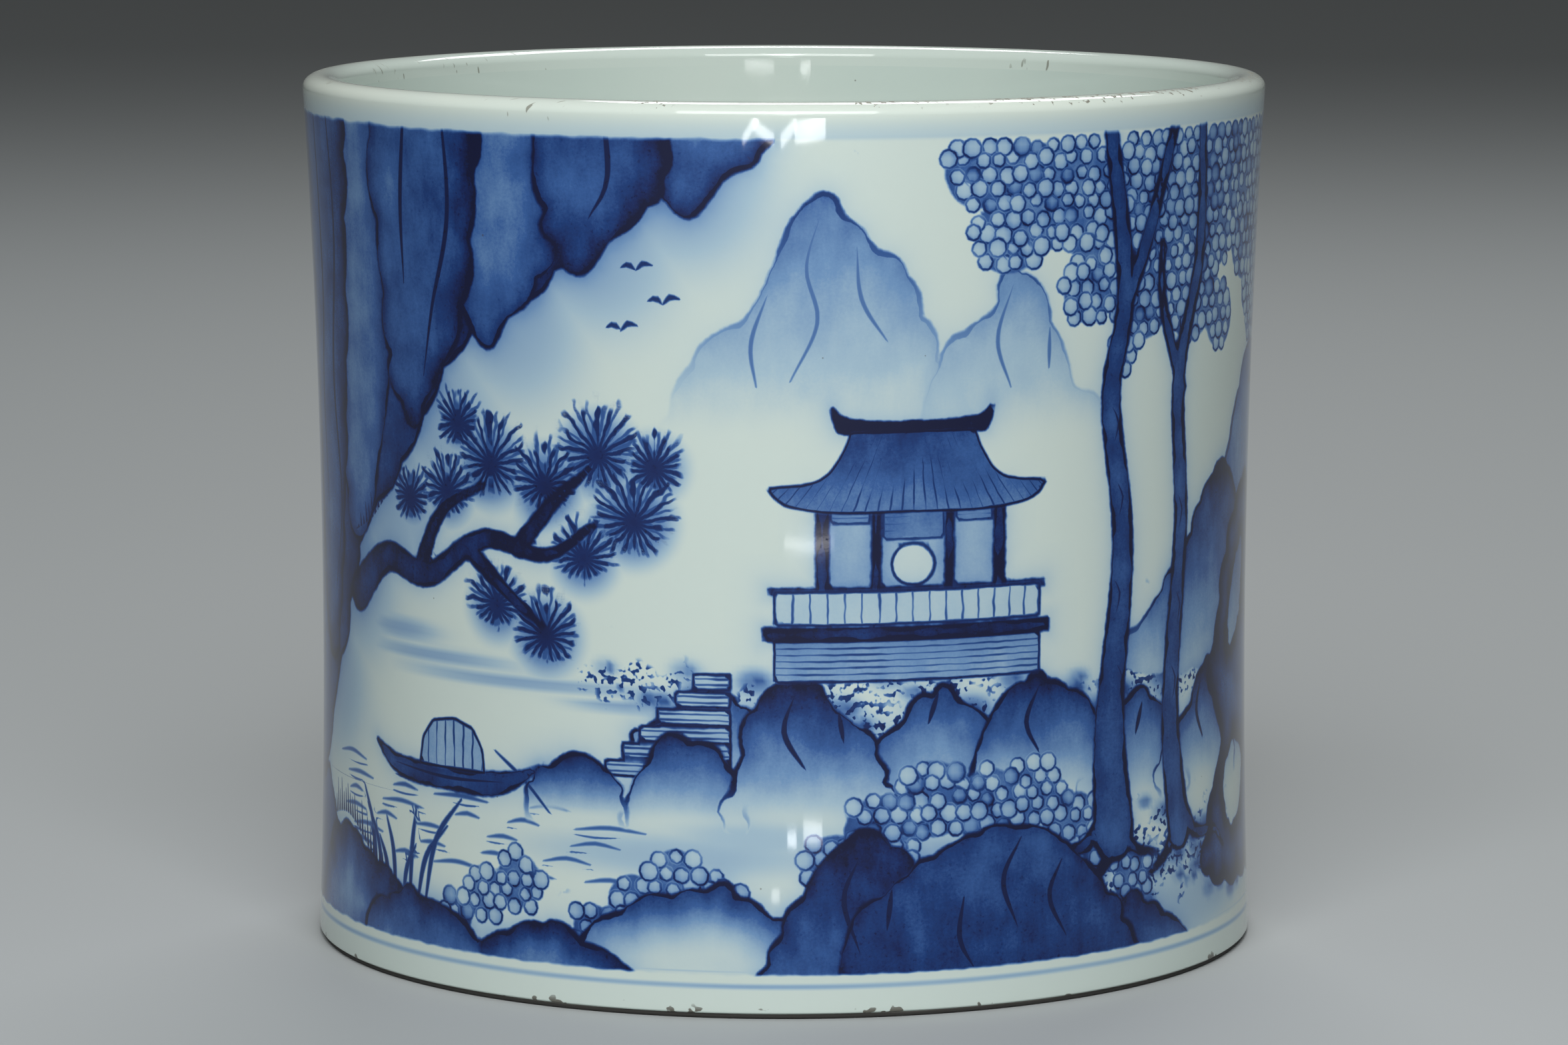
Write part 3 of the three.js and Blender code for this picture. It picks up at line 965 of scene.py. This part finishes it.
class Tree:
    """Places nodes in a shader tree and joins them up."""

    def __init__(self, held):
        self.held = held

    def add(self, kind, settings=None, **inputs):
        """A new node with its settings made and its named inputs filled."""
        node = self.held.nodes.new("ShaderNode" + kind)
        for name, value in (settings or {}).items():
            setattr(node, name, value)
        for name, value in inputs.items():
            self.feed(node.inputs[name.replace("_", " ")], value)
        return node

    def feed(self, socket, value):
        """Links a varying value to a socket, or sets a plain one on it."""
        if isinstance(value, Value):
            self.held.links.new(value.socket, socket)
        else:
            socket.default_value = value

    def made(self, output, kind, settings=None, **inputs):
        """One output of a new node."""
        return Value(self, self.add(kind, settings, **inputs).outputs[output])

    def numbered(self, output, kind, settings, sockets, values):
        """One output of a new node whose inputs go by number."""
        node = self.add(kind, settings)
        for socket, value in zip(sockets, values):
            self.feed(node.inputs[socket], value)
        return Value(self, node.outputs[output])

    def math(self, operation, *values):
        return self.numbered(0, "Math", {"operation": operation}, (0, 1), values)

    def magnitude(self, value):
        return self.math("ABSOLUTE", value)

    def highest(self, first, *others):
        for other in others:
            first = self.math("MAXIMUM", first, other)
        return first

    def blend(self, below, above, share):
        return self.numbered(0, "Mix", {"data_type": "FLOAT"}, (0, 2, 3), (share, below, above))

    def tint(self, below, colour, share):
        """A plain colour laid over a varying one by a share from 0 to 1."""
        values = (share, below, (*colour, 1))
        return self.numbered(2, "Mix", {"data_type": "RGBA"}, (0, 6, 7), values)

    def rise(self, value, low, high):
        """0 up to low and 1 from high on, with a soft step between; falls where low is higher."""
        return self.made("Result", "MapRange", {"interpolation_type": "SMOOTHSTEP"},
                         Value=value, From_Min=low, From_Max=high)

    def noise(self, where, scale, detail=2.0, roughness=0.5):
        return self.made("Fac", "TexNoise", Vector=where, Scale=scale, Detail=detail,
                         Roughness=roughness)

    def stretched(self, where, scale):
        """A place on the surface, scaled by each axis."""
        return self.made("Vector", "Mapping", Vector=where, Scale=scale)

    def chance(self, number):
        """A random number from 0 to 1 for each whole number."""
        return self.made("Value", "TexWhiteNoise", {"noise_dimensions": "1D"}, W=number)

    def bump(self, height):
        """The direction of a face that a height in metres raises."""
        return self.made("Normal", "Bump", Height=height, Distance=1.0, Strength=1.0)

    def place(self):
        """The place on the piece, in metres."""
        return self.made("Object", "TexCoord")

    def wall_place(self):
        """The place on the unrolled wall, in mm round it and up."""
        return self.made("UV", "UVMap", {"uv_map": "unrolled"})

    def axes(self, place):
        """The three numbers of a place."""
        parts = self.add("SeparateXYZ", Vector=place)
        return [Value(self, parts.outputs[i]) for i in range(3)]

    def from_axis(self, x, y):
        """How far a place lies from the pot's axis."""
        return self.math("SQRT", x * x + y * y)

    def painted(self, name, output="Fac"):
        """What the painted coat holds under a name."""
        return self.made(output, "Attribute", {"attribute_name": name})

    def colours(self, value, *stops):
        """A colour read from stops of (position, red, green, blue)."""
        node = self.add("ValToRGB", Fac=value)
        ramp = node.color_ramp.elements
        while len(ramp) < len(stops):
            ramp.new(0.5)
        for element, (position, *colour) in zip(ramp, stops):
            element.position = position
            element.color = (*colour, 1)
        return Value(self, node.outputs["Color"])

    def spots(self, where, spacing, size, share):
        """1 inside sparse round spots, of about a radius in mm, in a share of cells of a
        spacing in mm."""
        node = self.add("TexVoronoi", Vector=where, Scale=1000.0 / spacing)
        chance = self.add("SeparateColor", Color=Value(self, node.outputs["Color"]))
        red, green = [Value(self, chance.outputs[i]) for i in range(2)]
        radius = (green * 0.8 + 0.5) * size
        off = Value(self, node.outputs["Distance"]) * spacing - radius
        return self.rise(off, 0.4 * size, -0.3 * size) * self.rise(red, share + 0.01, share - 0.01)

    def place_group(self, shared, **inputs):
        return self.made(0, "Group", {"node_tree": shared}, **inputs)


def shared_effect(build, labels, output="Ink"):
    """A node group that puts out what build makes of its labelled inputs, which are numbers,
    apart from one named Place."""
    shared = bpy.data.node_groups.new(build.__name__, "ShaderNodeTree")
    for label in labels:
        kind = "NodeSocketVector" if label == "Place" else "NodeSocketFloat"
        shared.interface.new_socket(label, in_out="INPUT", socket_type=kind)
    shared.interface.new_socket(output, in_out="OUTPUT", socket_type="NodeSocketFloat")
    source = shared.nodes.new("NodeGroupInput")
    sink = shared.nodes.new("NodeGroupOutput")
    tree = Tree(shared)
    tree.feed(sink.inputs[output], build(tree, *[Value(tree, source.outputs[i]) for i in labels]))
    return shared


def brushed_layer(tree, below, depth, tone, contour, streak, swell):
    """Lays a wash, pooled towards its edge, and its contour line over the ink below, with a
    faint haze outside where cobalt spread into the glaze."""
    pooled = tree.math("EXPONENT", depth * -0.5) * 0.3
    line = tree.rise(tree.magnitude(depth - 0.3), swell + 0.35, swell - 0.15)
    ink = tree.highest(tone * (streak + pooled), contour * line)
    haze = tree.math("EXPONENT", tree.math("MINIMUM", depth, 0.0) * 0.5) * contour * 0.11
    cover = tree.rise(tree.highest(ink, contour * 0.2), 0.0, 0.14)
    return tree.blend(below + haze, ink, tree.rise(depth, -0.4, 0.38) * cover)


def ruled_layer(tree, below, depth, tone, contour, lines, spacing, streak, swell):
    """Lays a brushed shape with a thin line wherever its line number is whole."""
    off_rule = tree.magnitude(lines - tree.math("ROUND", lines)) * spacing
    rule = tree.rise(off_rule, swell * 0.25 + 0.3, 0.02) * contour * (swell * 0.3 + 0.5)
    line = tree.rise(tree.magnitude(depth - 0.2), swell * 0.4 + 0.45, 0.1) * contour
    return tree.blend(below, tree.highest(tone * streak, rule, line), tree.rise(depth, -0.35, 0.3))


def line_layer(tree, below, side, half_width, tone):
    """Lays thin brush lines, given by the way across them and half their width in mm."""
    return tree.highest(below, tone * tree.rise(tree.magnitude(side) - half_width, 0.32, -0.26))


def ring_layer(tree, below, depth, tone, contour):
    """Lays ring-shaped leaves, pale in their middle with a thin line round each."""
    fill = tone * (tree.math("EXPONENT", depth * -1.5) * 1.1 + 0.55)
    line = tree.rise(tree.magnitude(depth - 0.24), 0.48, 0.04) * contour
    return tree.blend(below, tree.highest(fill, line), tree.rise(depth, -0.22, 0.2))


def needle_fan(tree, lines, from_middle, radius, shake, apart, width):
    """One round of needles, shortest below, each as long as chance has it."""
    nearest = tree.math("ROUND", lines)
    off = tree.magnitude(lines - nearest) * from_middle * apart
    chance = tree.chance(nearest + radius * 3.7)
    upward = tree.math("COSINE", nearest * apart) * -0.2 + 0.8
    length = radius * upward * (chance * 0.25 + shake * 0.4 + 0.68)
    return tree.rise(off, width + 0.28, width - 0.22) * tree.rise(from_middle - length, 0.6, -0.9)


def needle_layer(tree, below, depth, from_middle, radius, lines, shake):
    """Lays wheels of pine needles in two rounds, dark where they crowd round their middle."""
    apart = math.tau / NEEDLES
    closer = 1.37
    between = lines * closer - shake + 0.4
    front = needle_fan(tree, lines + shake, from_middle, radius, shake, apart, 0.42) * 0.84
    behind = needle_fan(tree, between, from_middle, radius, shake, apart / closer, 0.34) * 0.58
    heart = tree.rise(from_middle, 4.6, 0.6) * 0.86
    haze = tree.rise(from_middle - radius * 0.7, 2.5, -5.0) * 0.4
    wheel = tree.highest(front, behind, heart, haze)
    return tree.highest(below, wheel * tree.rise(depth, -0.6, 0.2))


def grass_layer(tree, below, above, tall, tone, lines, pitch):
    """Lays blades of grass that stand on an edge and lean as chance has it."""
    leaning = lines + above * 0.09
    nearest = tree.math("ROUND", leaning)
    length = tall * (tree.chance(nearest) * 0.7 + 0.3)
    width = 0.38 - above / tree.highest(length, 0.01) * 0.3
    off = tree.magnitude(leaning - nearest) * pitch
    blade = tree.rise(off - width, 0.16, -0.1) * tree.rise(above - length, 0.3, -0.3)
    return tree.highest(below, tone * blade * tree.rise(above, -0.9, -0.3))


# The colour of the ground and of a pale wash, and the tones of ink at which they are reached
GROUND = (0.52, 0.605, 0.565)
PALE_BLUE = (0.325, 0.455, 0.54)
PALE_TONE = 0.13
HAZE_TONE = 0.075

# The other glazes' and the bare clay's colours, what soils them, and the near-black of the painted shade
# at the foot's lower edge
LINING_PALE, LINING_DEEP = (0.54, 0.62, 0.57), (0.48, 0.575, 0.53)
LIP_PALE, LIP_DEEP = (0.64, 0.7, 0.625), (0.59, 0.665, 0.61)
CLAY_PALE, CLAY_DEEP = (0.66, 0.64, 0.58), (0.56, 0.52, 0.45)
SPECK_BROWN = (0.07, 0.04, 0.02)
NICK_BROWN = (0.05, 0.035, 0.02)
WORN_BROWN = (0.1, 0.085, 0.05)
# Painted shade: the colour laid on the foot's outer lower edge to darken it
PAINTED_FOOT_SHADE = (0.012, 0.011, 0.01)
GLAZE_IOR = 1.41


def cobalt_under_glaze(tree, ink):
    """The colour of the glazed surface for each strength of ink."""
    return tree.colours(
        ink, (0.0, *GROUND), (PALE_TONE, *PALE_BLUE), (0.3, 0.135, 0.255, 0.445),
        (0.5, 0.030, 0.095, 0.285), (0.7, 0.005, 0.034, 0.155), (0.86, 0.002, 0.012, 0.082),
        (1.0, 0.001, 0.003, 0.030))


def mossy(tree, where):
    """The ink of the soft washes, with fine flecks in clumps where there is moss."""
    clumps = tree.rise(tree.noise(where, 0.2, 1.0) + tree.painted("wash_moss") * 0.5, 0.74, 1.0)
    flecks = tree.rise(tree.noise(where, 0.75, 1.0), 0.5, 0.6)
    return tree.highest(tree.painted("wash_mist"), clumps * flecks * 0.74)


def painting(tree):
    """The ink of the whole landscape, layer over layer, from none at 0 to darkest at 1."""
    where = tree.wall_place()
    brushing = tree.noise(tree.stretched(where, (0.3, 0.09, 1)), 1.0, 4.0, 0.6)
    mottle = tree.noise(where, 0.11, 3.0)
    grain = tree.noise(where, 1.7, 3.0, 0.7)
    streak = tree.rise(brushing * 0.35 + mottle * 0.55 + grain * 0.25, 0.25, 0.9) * 0.6 + 0.7
    swell = tree.rise(tree.noise(where, 0.13, 1.0), 0.35, 0.68) * 0.8 + 0.12
    ragged = (tree.noise(where, 0.45, 2.0) - 0.5) * 0.7
    shake = (tree.noise(where, 0.3, 1.0) - 0.5) * 1.1
    wash = ["Below", "Depth", "Tone", "Contour"]
    shared = {
        "brushed": shared_effect(brushed_layer, wash + ["Streak", "Swell"]),
        "rings": shared_effect(ring_layer, wash),
        "needles": shared_effect(
            needle_layer, ["Below", "Depth", "From Middle", "Radius", "Lines", "Shake"]),
        "lines": shared_effect(line_layer, ["Below", "Side", "Half Width", "Tone"]),
        "grass": shared_effect(grass_layer, ["Below", "Above", "Tall", "Tone", "Lines", "Pitch"])}
    ruled = shared_effect(ruled_layer, wash + ["Lines", "Spacing", "Streak", "Swell"])
    ink = mossy(tree, where)
    for name, manner in LAYERS:
        first, second, third = tree.axes(tree.painted("ink_" + name, "Vector"))
        tones = {"Tone": second, "Contour": third}
        if manner == "brushed":
            given = {"Depth": first + ragged, "Streak": streak, "Swell": swell, **tones}
        elif manner == "rings":
            given = {"Depth": first + ragged * 0.5, **tones}
        elif manner == "lines":
            given = {"Side": first, "Half_Width": second, "Tone": third}
        elif manner == "needles":
            given = {"Depth": first, "From_Middle": second, "Radius": third, "Shake": shake,
                     "Lines": tree.painted("ruled_" + name)}
        elif manner == "grass":
            given = {"Above": first, "Tall": second, "Tone": third, "Pitch": GRASS_PITCH,
                     "Lines": tree.painted("ruled_" + name)}
        else:
            given = {"Depth": first + ragged * 0.4, "Streak": streak, "Swell": swell, **tones,
                     "Spacing": manner, "Lines": tree.painted("ruled_" + name) + shake * 0.25}
        ink = tree.place_group(shared.get(manner, ruled), Below=ink, **given)
    height = tree.axes(where)[1]
    uneven = height + (tree.noise(where, 0.25, 1.0) - 0.5) * 0.9
    ink = ink * tree.rise(uneven, BAND_LOW - 0.3, BAND_LOW + 0.4)
    ink = ink * tree.rise(uneven, BAND_HIGH + 0.7, BAND_HIGH - 0.6)
    return tree.highest(ink, border_rings(tree, where, height))


# Each border ring's height, half its width, how far its edges blur, and its tone
RINGS = [(161.3, 0.2, 0.5, 0.04), (6.1, 0.42, 0.42, 0.21), (8.8, 0.2, 0.28, 0.12)]


def rim_haze(tree, height):
    """The faint blue band that spread up from the painting's edge, at a height in mm."""
    return tree.rise(height, 160.4, 161.8) * tree.rise(height, 165.2, 161.6) * HAZE_TONE


def border_rings(tree, where, height):
    """The thin blue rings round the rim and the foot, which thin out where the brush ran dry."""
    dry = tree.noise(tree.stretched(where, (0.02, 0.3, 1)), 1.0, 2.0)
    total = rim_haze(tree, height)
    for middle, half, soft, tone in RINGS:
        ring = tree.rise(tree.magnitude(height - middle), half + soft, half - soft)
        total = ring * (dry * tone + tone * 0.5) + total
    return total


def glaze_relief(tree, place):
    """The height in metres by which the glaze ran, puckered and pitted in the kiln."""
    run = tree.noise(place, 60.0, 1.0) * (0.05 * MM)
    peel = tree.noise(place, 620.0, 3.0, 0.7) * (0.0015 * MM)
    pit = tree.spots(place, 9.0, 0.22, 0.5) * (-0.02 * MM)
    return run + peel + pit


def iron_specks(tree, place):
    """The share of brown in the sparse specks that iron in the clay left in the glaze."""
    small = tree.spots(place, 14.0, 0.3, 0.3)
    tiny = tree.spots(place, 6.0, 0.14, 0.35)
    return tree.highest(small, tiny * 0.7)


RELIEF = shared_effect(glaze_relief, ["Place"], "Height")
SPECKS = shared_effect(iron_specks, ["Place"], "Specks")


def new_material(name):
    material = bpy.data.materials.new(name)
    material.use_nodes = True
    return material, Tree(material.node_tree), material.node_tree.nodes["Principled BSDF"]


def finish_glaze(tree, shader, colour, dulled):
    """What all the glazes share: a glassy face, faintly uneven as it ran in the kiln, wiped and
    faintly smeared, and rough where it is dulled."""
    tree.feed(shader.inputs["Base Color"], colour)
    tree.feed(shader.inputs["Normal"], tree.bump(tree.place_group(RELIEF, Place=tree.place())))
    tree.feed(shader.inputs["Roughness"], tree.noise(tree.place(), 35.0, 3.0) * 0.04 + dulled + 0.025)
    shader.inputs["IOR"].default_value = GLAZE_IOR


def painted_glaze():
    """Cobalt on the white body under clear glaze, with darker grains, specks, and brown nicks
    along its lower edge."""
    material, tree, shader = new_material("painted_glaze")
    ink = painting(tree)
    grains = tree.rise(tree.noise(tree.wall_place(), 1.1, 2.0), 0.6, 0.72) * tree.rise(ink, 0.4, 0.9)
    colour = cobalt_under_glaze(tree, ink + grains * 0.12)
    place = tree.place()
    low = tree.rise(tree.axes(place)[2], 3.4 * MM, 1.4 * MM)
    nicks = tree.rise(tree.noise(place, 330.0, 2.0) + low * 0.12, 0.75, 0.78) * low
    soiled = tree.highest(tree.place_group(SPECKS, Place=place), nicks)
    finish_glaze(tree, shader, tree.tint(colour, NICK_BROWN, soiled * 0.85), grains * 0.12)
    return material


def clouded(tree, pale, deep):
    """The colour of clear glaze over the white body, in clouds of a paler and a deeper tint."""
    colour = tree.colours(tree.noise(tree.place(), 18.0, 3.0), (0.3, *deep), (0.7, *pale))
    return tree.tint(colour, SPECK_BROWN, tree.place_group(SPECKS, Place=tree.place()) * 0.8)


def clear_glaze():
    """The lining's and the base's glaze, faintly green."""
    material, tree, shader = new_material("clear_glaze")
    finish_glaze(tree, shader, clouded(tree, LINING_PALE, LINING_DEEP), 0.0)
    return material


def worn_lip_glaze():
    """The lip's glaze, flaked off in crumbs along its crown, with fine scratches. It is warm
    outside, takes the lining's tint inside and the painting's haze at its lower edge."""
    material, tree, shader = new_material("worn_lip_glaze")
    place = tree.place()
    x, y, z = tree.axes(place)
    radius = tree.from_axis(x, y)
    lined = tree.rise(radius, LIP_INNER_RADIUS + 3.4 * MM, LIP_INNER_RADIUS + 0.8 * MM)
    outer = tree.rise(radius, LIP_INNER_RADIUS + 4 * MM, LIP_INNER_RADIUS + 5 * MM)
    low = tree.rise(z, COAT_TOP + 3 * MM, COAT_TOP) * outer
    colour = tree.tint(clouded(tree, LIP_PALE, LIP_DEEP), LINING_PALE, lined)
    colour = tree.tint(colour, GROUND, low)
    haze = rim_haze(tree, z * (1 / MM)) * outer
    colour = tree.tint(colour, PALE_BLUE, haze * (1 / PALE_TONE))
    handled = tree.rise(x * 0.8 - y * 0.6, 0.056, 0.08) * 0.22
    stretches = tree.rise(tree.noise(place, 40.0, 1.0) + handled, 0.6, 0.66)
    off_edge = tree.magnitude(radius - CHIPPED_RADIUS) * (0.085 / MM)
    crumbs = tree.rise(tree.noise(place, 950.0, 2.0) - off_edge, 0.5, 0.54)
    flaked = crumbs * tree.rise(z, POT_TOP - 1.8 * MM, POT_TOP - 1.0 * MM) * stretches
    scratches = tree.rise(tree.noise(tree.stretched(place, (180, 1500, 300)), 1.0, 1.0), 0.68, 0.72)
    scratched = scratches * tree.rise(tree.noise(place, 30.0, 1.0), 0.52, 0.57) * 0.8
    worn = tree.highest(flaked, scratched)
    finish_glaze(tree, shader, tree.tint(colour, WORN_BROWN, worn * 0.82), worn * 0.5)
    return material


def bare_biscuit():
    """Fired clay, wiped clean, with kiln grit, a warm blush, and painted shade darkening the foot's outer
    lower edge.
    """
    material, tree, shader = new_material("bare_biscuit")
    place = tree.place()
    x, y, z = tree.axes(place)
    grit = tree.noise(place, 900.0, 3.0)
    blush = tree.noise(place, 28.0, 3.0)
    sand = tree.spots(place, 3.0, 0.3, 0.4)
    colour = tree.colours(grit * 0.55 + blush * 0.45, (0.35, *CLAY_DEEP), (0.62, *CLAY_PALE))
    # Painted shade: the foot's outer lower edge, just above the floor, is darkened nearly to black; it is
    # mixed in with the kiln grit's specks
    rim = tree.rise(tree.from_axis(x, y), FOOT_RADIUS - 1.6 * MM, FOOT_RADIUS - 0.5 * MM)
    painted_foot_shade = rim * tree.rise(z + blush * (0.5 * MM), 1.6 * MM, 1.0 * MM)
    soiled = tree.highest(sand * 0.7, painted_foot_shade * 0.97)
    tree.feed(shader.inputs["Base Color"], tree.tint(colour, PAINTED_FOOT_SHADE, soiled))
    tree.feed(shader.inputs["Normal"], tree.bump(grit * (0.03 * MM) + sand * (0.05 * MM)))
    tree.feed(shader.inputs["Roughness"], grit * 0.15 + 0.72)
    return material


# The painted coat's ink and maps

# The square sheet for baking, in mm: its side, its margin, and where its upper strip starts
SHEET_SIDE = HALF + 40
SHEET_MARGIN = 5
UPPER_STRIP = HALF / 2 + 10


def read_all(items, name, width, kind):
    """One property of all of a mesh's items, as a row for each of its numbers."""
    numbers = np.zeros(len(items) * width, kind)
    items.foreach_get(name, numbers)
    return numbers.reshape(-1, width).T


def write_all(items, name, numbers):
    """Sets one property of all of a mesh's items."""
    items.foreach_set(name, np.asarray(numbers, np.float32).ravel())


def store_ink(mesh, wall):
    """Gives the painted coat every layer of ink and wash, corner by corner."""
    for name, manner in LAYERS:
        layer = mesh.attributes.new("ink_" + name, "FLOAT_VECTOR", "POINT")
        write_all(layer.data, "vector", wall.inks[name])
        if manner not in ("brushed", "rings", "lines"):
            ruled = mesh.attributes.new("ruled_" + name, "FLOAT", "POINT")
            write_all(ruled.data, "value", wall.lines[name])
    for name, wash in wall.washes.items():
        write_all(mesh.attributes.new("wash_" + name, "FLOAT", "POINT").data, "value", wash)


def store_maps(mesh, arc_length, height):
    """Gives the painted coat two maps: its wall unrolled in mm, and the same in two strips,
    the back above the front, on a square sheet for baking."""
    corner = read_all(mesh.loops, "vertex_index", 1, np.int32)[0]
    sizes = read_all(mesh.polygons, "loop_total", 1, np.int32)[0]
    face = np.repeat(np.arange(len(sizes)), sizes)
    around, up = arc_length[corner], height[corner]
    farthest = np.full(len(sizes), -HALF)
    np.maximum.at(farthest, face, around)
    across_back = (farthest[face] > HALF / 2) & (around < -HALF / 2)
    around = np.where(across_back, around + TURN, around)
    write_all(mesh.uv_layers.new(name="unrolled").data, "uv", np.stack([around, up], 1))
    middle = np.bincount(face, around) / sizes
    behind = np.abs((middle[face] + HALF) % TURN - HALF) > HALF / 2
    sheet_x = np.where(behind, around % TURN - HALF / 2, around + HALF / 2) + SHEET_MARGIN
    sheet_y = up + np.where(behind, UPPER_STRIP, SHEET_MARGIN)
    sheet = np.stack([sheet_x, sheet_y], 1) / SHEET_SIDE
    write_all(mesh.uv_layers.new(name="OFBake").data, "uv", sheet)


def unroll(piece):
    """Paints the coat's unrolled wall and gives the coat its ink and its maps."""
    x, y, z = read_all(piece.data.vertices, "co", 3, np.float32)
    arc_length = (np.arctan2(x, -y) * TURN / math.tau).astype(float)
    wall = Wall(arc_length, (z / MM).astype(float))
    paint(wall)
    store_ink(piece.data, wall)
    store_maps(piece.data, arc_length, wall.height)


# The stage

# The beam of the small lamps, in degrees, and the point that the large lamps aim at
GLINT_SPREAD = 30
POT_MIDDLE = (0, 0, 0.08)

FLOOR_SIZE = 14
FLOOR_COLOUR = (0.4, 0.425, 0.43)
FLOOR_ROUGHNESS = 0.7
WORLD_COLOUR = (0.75, 0.77, 0.77)
WORLD_STRENGTH = 0.12


def add_camera():
    data = bpy.data.cameras.new("camera")
    data.lens = CAMERA_LENS
    data.sensor_width = SENSOR_WIDTH
    camera = bpy.data.objects.new("camera", data)
    camera.location = (0, -CAMERA_DISTANCE, CAMERA_HEIGHT)
    camera.rotation_euler = (math.pi / 2 - CAMERA_PITCH, 0, 0)
    bpy.context.scene.collection.objects.link(camera)
    bpy.context.scene.camera = camera


def area_lamp(name, place, target, size, power, spread=180, turn=0):
    data = bpy.data.lights.new(name, "AREA")
    data.spread = math.radians(spread)
    data.shape = "RECTANGLE"
    data.size, data.size_y = size
    data.energy = power
    lamp = bpy.data.objects.new(name, data)
    lamp.location = place
    aim = (Vector(target) - Vector(place)).to_track_quat("-Z", "Y")
    lamp.rotation_euler = (aim @ Quaternion((0, 0, 1), math.radians(turn))).to_euler()
    lamp.visible_camera = False
    bpy.context.scene.collection.objects.link(lamp)


def glint_lamp(name, across, height, size, away, brightness=17, wall=outside, turn=0):
    """A small lamp that the front wall mirrors to the camera, or the back wall from inside, at
    a place and in a size given in mm, from a distance in metres. Its narrow beam keeps its
    light off the floor."""
    x, z = across * MM, height * MM
    radius = float(wall(z))
    side = 1 if wall is outside else -1
    point = Vector((x, -side * math.sqrt(radius ** 2 - x ** 2), z))
    slope = float(wall.deriv()(z))
    normal = Vector((side * point.x / radius, side * point.y / radius, -side * slope))
    normal.normalize()
    view = (Vector((0, -CAMERA_DISTANCE, CAMERA_HEIGHT)) - point).normalized()
    mirrored = 2 * view.dot(normal) * normal - view
    wide = size[0] * MM * abs(1 + away * (2 * side / radius + 1 / CAMERA_DISTANCE))
    bend = float(wall.deriv(2)(z))
    tall = size[1] * MM * abs(1 + away * (1 / CAMERA_DISTANCE - 2 * side * bend))
    half = math.radians(GLINT_SPREAD / 2)
    power = brightness * math.pi * wide * tall * (1 - half / math.tan(half))
    area_lamp(name, point + away * mirrored, point, (wide, tall), power, GLINT_SPREAD, turn)


def add_floor():
    bpy.ops.mesh.primitive_plane_add(size=FLOOR_SIZE)
    floor = bpy.context.active_object
    floor.name = "floor"
    material, tree, shader = new_material("pale_floor")
    shader.inputs["Base Color"].default_value = (*FLOOR_COLOUR, 1)
    shader.inputs["Roughness"].default_value = FLOOR_ROUGHNESS
    floor.data.materials.append(material)


def add_world():
    world = bpy.data.worlds.new("studio")
    bpy.context.scene.world = world
    world.use_nodes = True
    background = world.node_tree.nodes["Background"]
    background.inputs["Color"].default_value = (*WORLD_COLOUR, 1)
    background.inputs["Strength"].default_value = WORLD_STRENGTH


def finish_in(material, *pieces):
    for piece in pieces:
        piece.data.materials.clear()
        piece.data.materials.append(material)


add_camera()
add_world()
add_floor()
area_lamp("key_lamp_left", (-0.27, -1.35, 1.2), POT_MIDDLE, (0.8, 0.9), 17)
area_lamp("key_lamp_right", (0.23, -1.35, 1.2), POT_MIDDLE, (0.7, 0.9), 15)
area_lamp("back_lamp", (0.2, 1.3, 1.5), POT_MIDDLE, (1.0, 0.6), 12)
area_lamp("glint_lamp_high", (0, -1.28, 0.37), (0, 0, 0.16), (0.13, 0.07), 0.35)
glint_lamp("glint_rim_far_left", -6.0, 163.1, (3, 2), 0.11, 15, turn=24)
glint_lamp("glint_rim_left", -3.6, 162.4, (3.6, 2.4), 0.11, 15, turn=-12)
glint_lamp("glint_rim_middle", 0.9, 162.5, (3, 2.6), 0.11, 15, turn=20)
glint_lamp("glint_rim_right", 4.7, 163.0, (5.4, 4), 0.11, 18, turn=4)
glint_lamp("glint_middle", 4.5, 87.7, (9, 2.6), 0.3, 12)
glint_lamp("glint_low_left", 1.4, 33.6, (1.6, 2.8), 0.15)
glint_lamp("glint_low_right", 5.2, 34.6, (3.4, 3.4), 0.15, 13)
glint_lamp("glint_lowest", -1.6, 23, (1.4, 2.4), 0.1, 8)
glint_lamp("glint_inside_left", -5.1, 163.4, (6, 0.8), 0.45, 26, inside)
glint_lamp("glint_inside_right", 4.3, 163.2, (2.1, 0.8), 0.45, 30, inside)

coat = painted_coat()
unroll(coat)
finish_in(painted_glaze(), coat)
finish_in(worn_lip_glaze(), lip_coat())
finish_in(clear_glaze(), lining_coat(), base_coat())
finish_in(bare_biscuit(), clay_wall(), floor_slab(), NODES["luting_coil"])

bpy.context.scene.view_settings.view_transform = "Standard"
